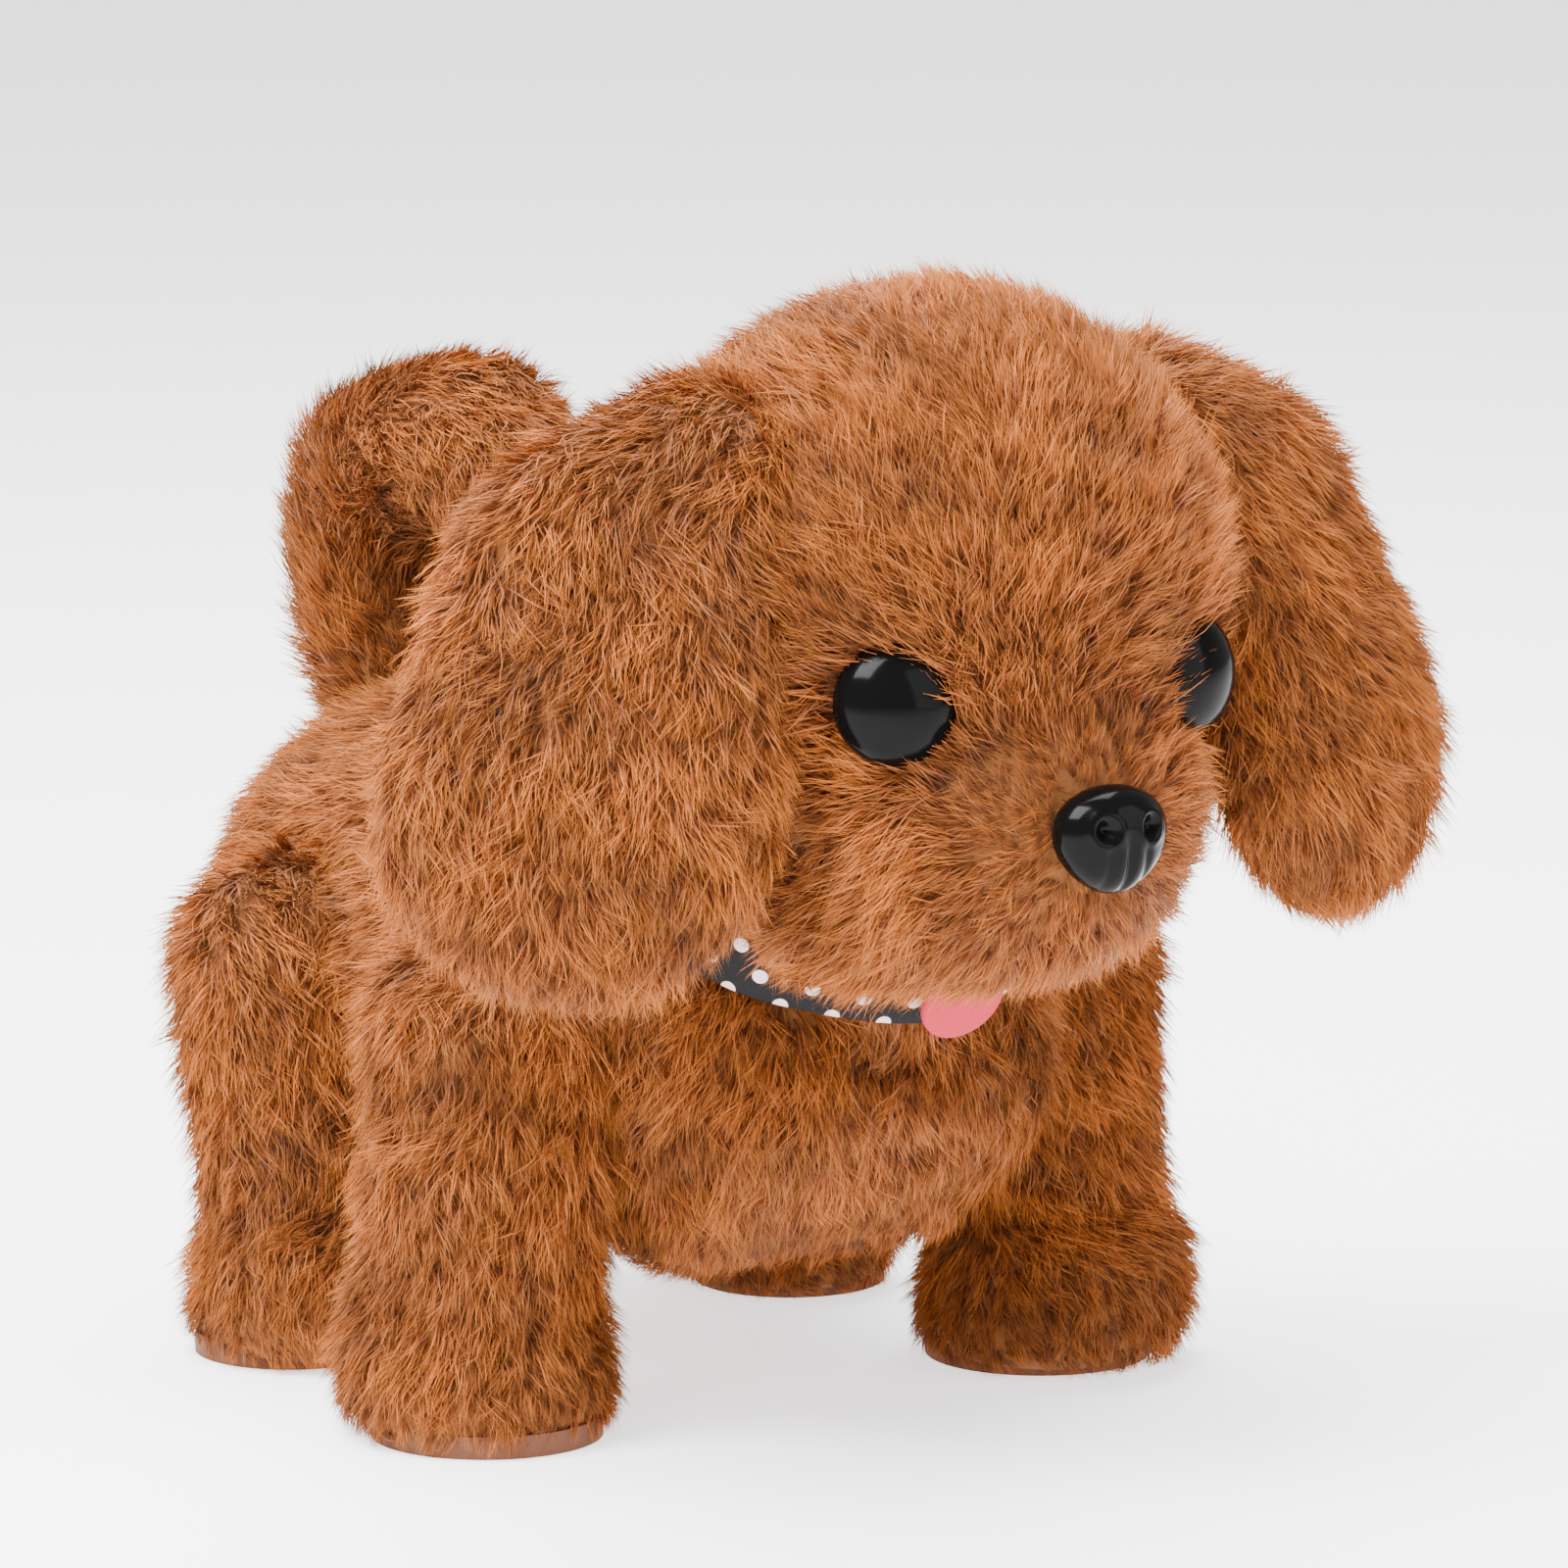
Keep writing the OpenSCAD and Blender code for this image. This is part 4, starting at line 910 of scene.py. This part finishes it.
def makeNose():
    bm = bmesh.new()
    bmesh.ops.create_uvsphere(bm, u_segments=96, v_segments=64, radius=1)
    for v in bm.verts:
        x, y, z = v.co
        wide = 1 + 0.16 * z - 0.1 * max(0, -z) ** 2
        p = Vector((x * noseForm["half"][0] * wide, y * noseForm["half"][1], z * noseForm["half"][2]))
        if y < 0:
            p.y *= 1 - 0.12 * math.exp(-(z * z) * 3)
            pit = math.hypot(abs(p.x) - noseForm["nostril"][0], (p.z - noseForm["nostril"][1]) * 0.9)
            p.y += noseForm["pit"] * math.exp(-(pit / 1.0) ** 2) - noseForm["rim"] * math.exp(-((pit - 1.9) / 0.5) ** 2)
            below = smoothStep(-p.z, -2.2, 1.5)
            for middle, depth in ((0, 1.0), (2.7, 0.6), (-2.7, 0.6)):
                p.y += noseForm["groove"] * depth * below * math.exp(-((p.x - middle) / 0.55) ** 2)
        v.co = point(p) + point(noseForm["at"])
    return meshPiece("nose_moulding", bm, mats["black_plastic"])


noseTip = makeNose()
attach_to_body(noseTip, "head")
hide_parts("nose")
print("stage: nose")


# ---- eyes ----

eyeForm = {"at": (22.6, -77.5, 103.6), "turn": (-6, 0, 22), "radius": 7.9, "rise": 4.8, "sink": 1.6}


def makeEye(side):
    bm = bmesh.new()
    bmesh.ops.create_uvsphere(bm, u_segments=64, v_segments=40, radius=1)
    bmesh.ops.scale(bm, vec=(eyeForm["radius"], eyeForm["radius"], eyeForm["rise"]), verts=bm.verts[:])
    bmesh.ops.translate(bm, vec=(0, 0, -eyeForm["sink"] + 1.2), verts=bm.verts[:])
    bmesh.ops.scale(bm, vec=(0.001, 0.001, 0.001), verts=bm.verts[:])
    turn = [math.radians(a) for a in eyeForm["turn"]]
    place = (Matrix.Translation(point(eyeForm["at"])) @ Euler(turn).to_matrix().to_4x4()
             @ Euler((math.pi / 2, 0, 0)).to_matrix().to_4x4())
    bmesh.ops.transform(bm, matrix=place, verts=bm.verts[:])
    if side < 0:
        bmesh.ops.scale(bm, vec=(-1, 1, 1), verts=bm.verts[:])
        bmesh.ops.reverse_faces(bm, faces=bm.faces[:])
    name = "left" if side > 0 else "right"
    dome = meshPiece("eye_dome_" + name, bm, mats["black_plastic"])
    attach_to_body(dome, "head")
    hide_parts("eye_" + name)


makeEye(1)
makeEye(-1)
print("stage: eyes")


# ---- torso and head pieces ride their bodies; ear, tail and leg pieces stay fixed in place ----

def settle(key, attach, cadNode):
    skin = skins[key]
    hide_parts(cadNode)
    for piece in [skin, *furs[key]]:
        attach(piece)


settle("torso", lambda piece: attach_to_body(piece, "body"), "plush_torso")
settle("head", lambda piece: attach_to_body(piece, "head"), "plush_head")
settle("ear_left", lambda piece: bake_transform(piece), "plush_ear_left")
settle("ear_right", lambda piece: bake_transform(piece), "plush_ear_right")
settle("tail", lambda piece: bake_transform(piece), "plush_tail")
for legName, leg in legs.items():
    settle("leg_" + legName,
           lambda piece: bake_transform(piece),
           "plush_leg_" + legName)

print("stage: done")
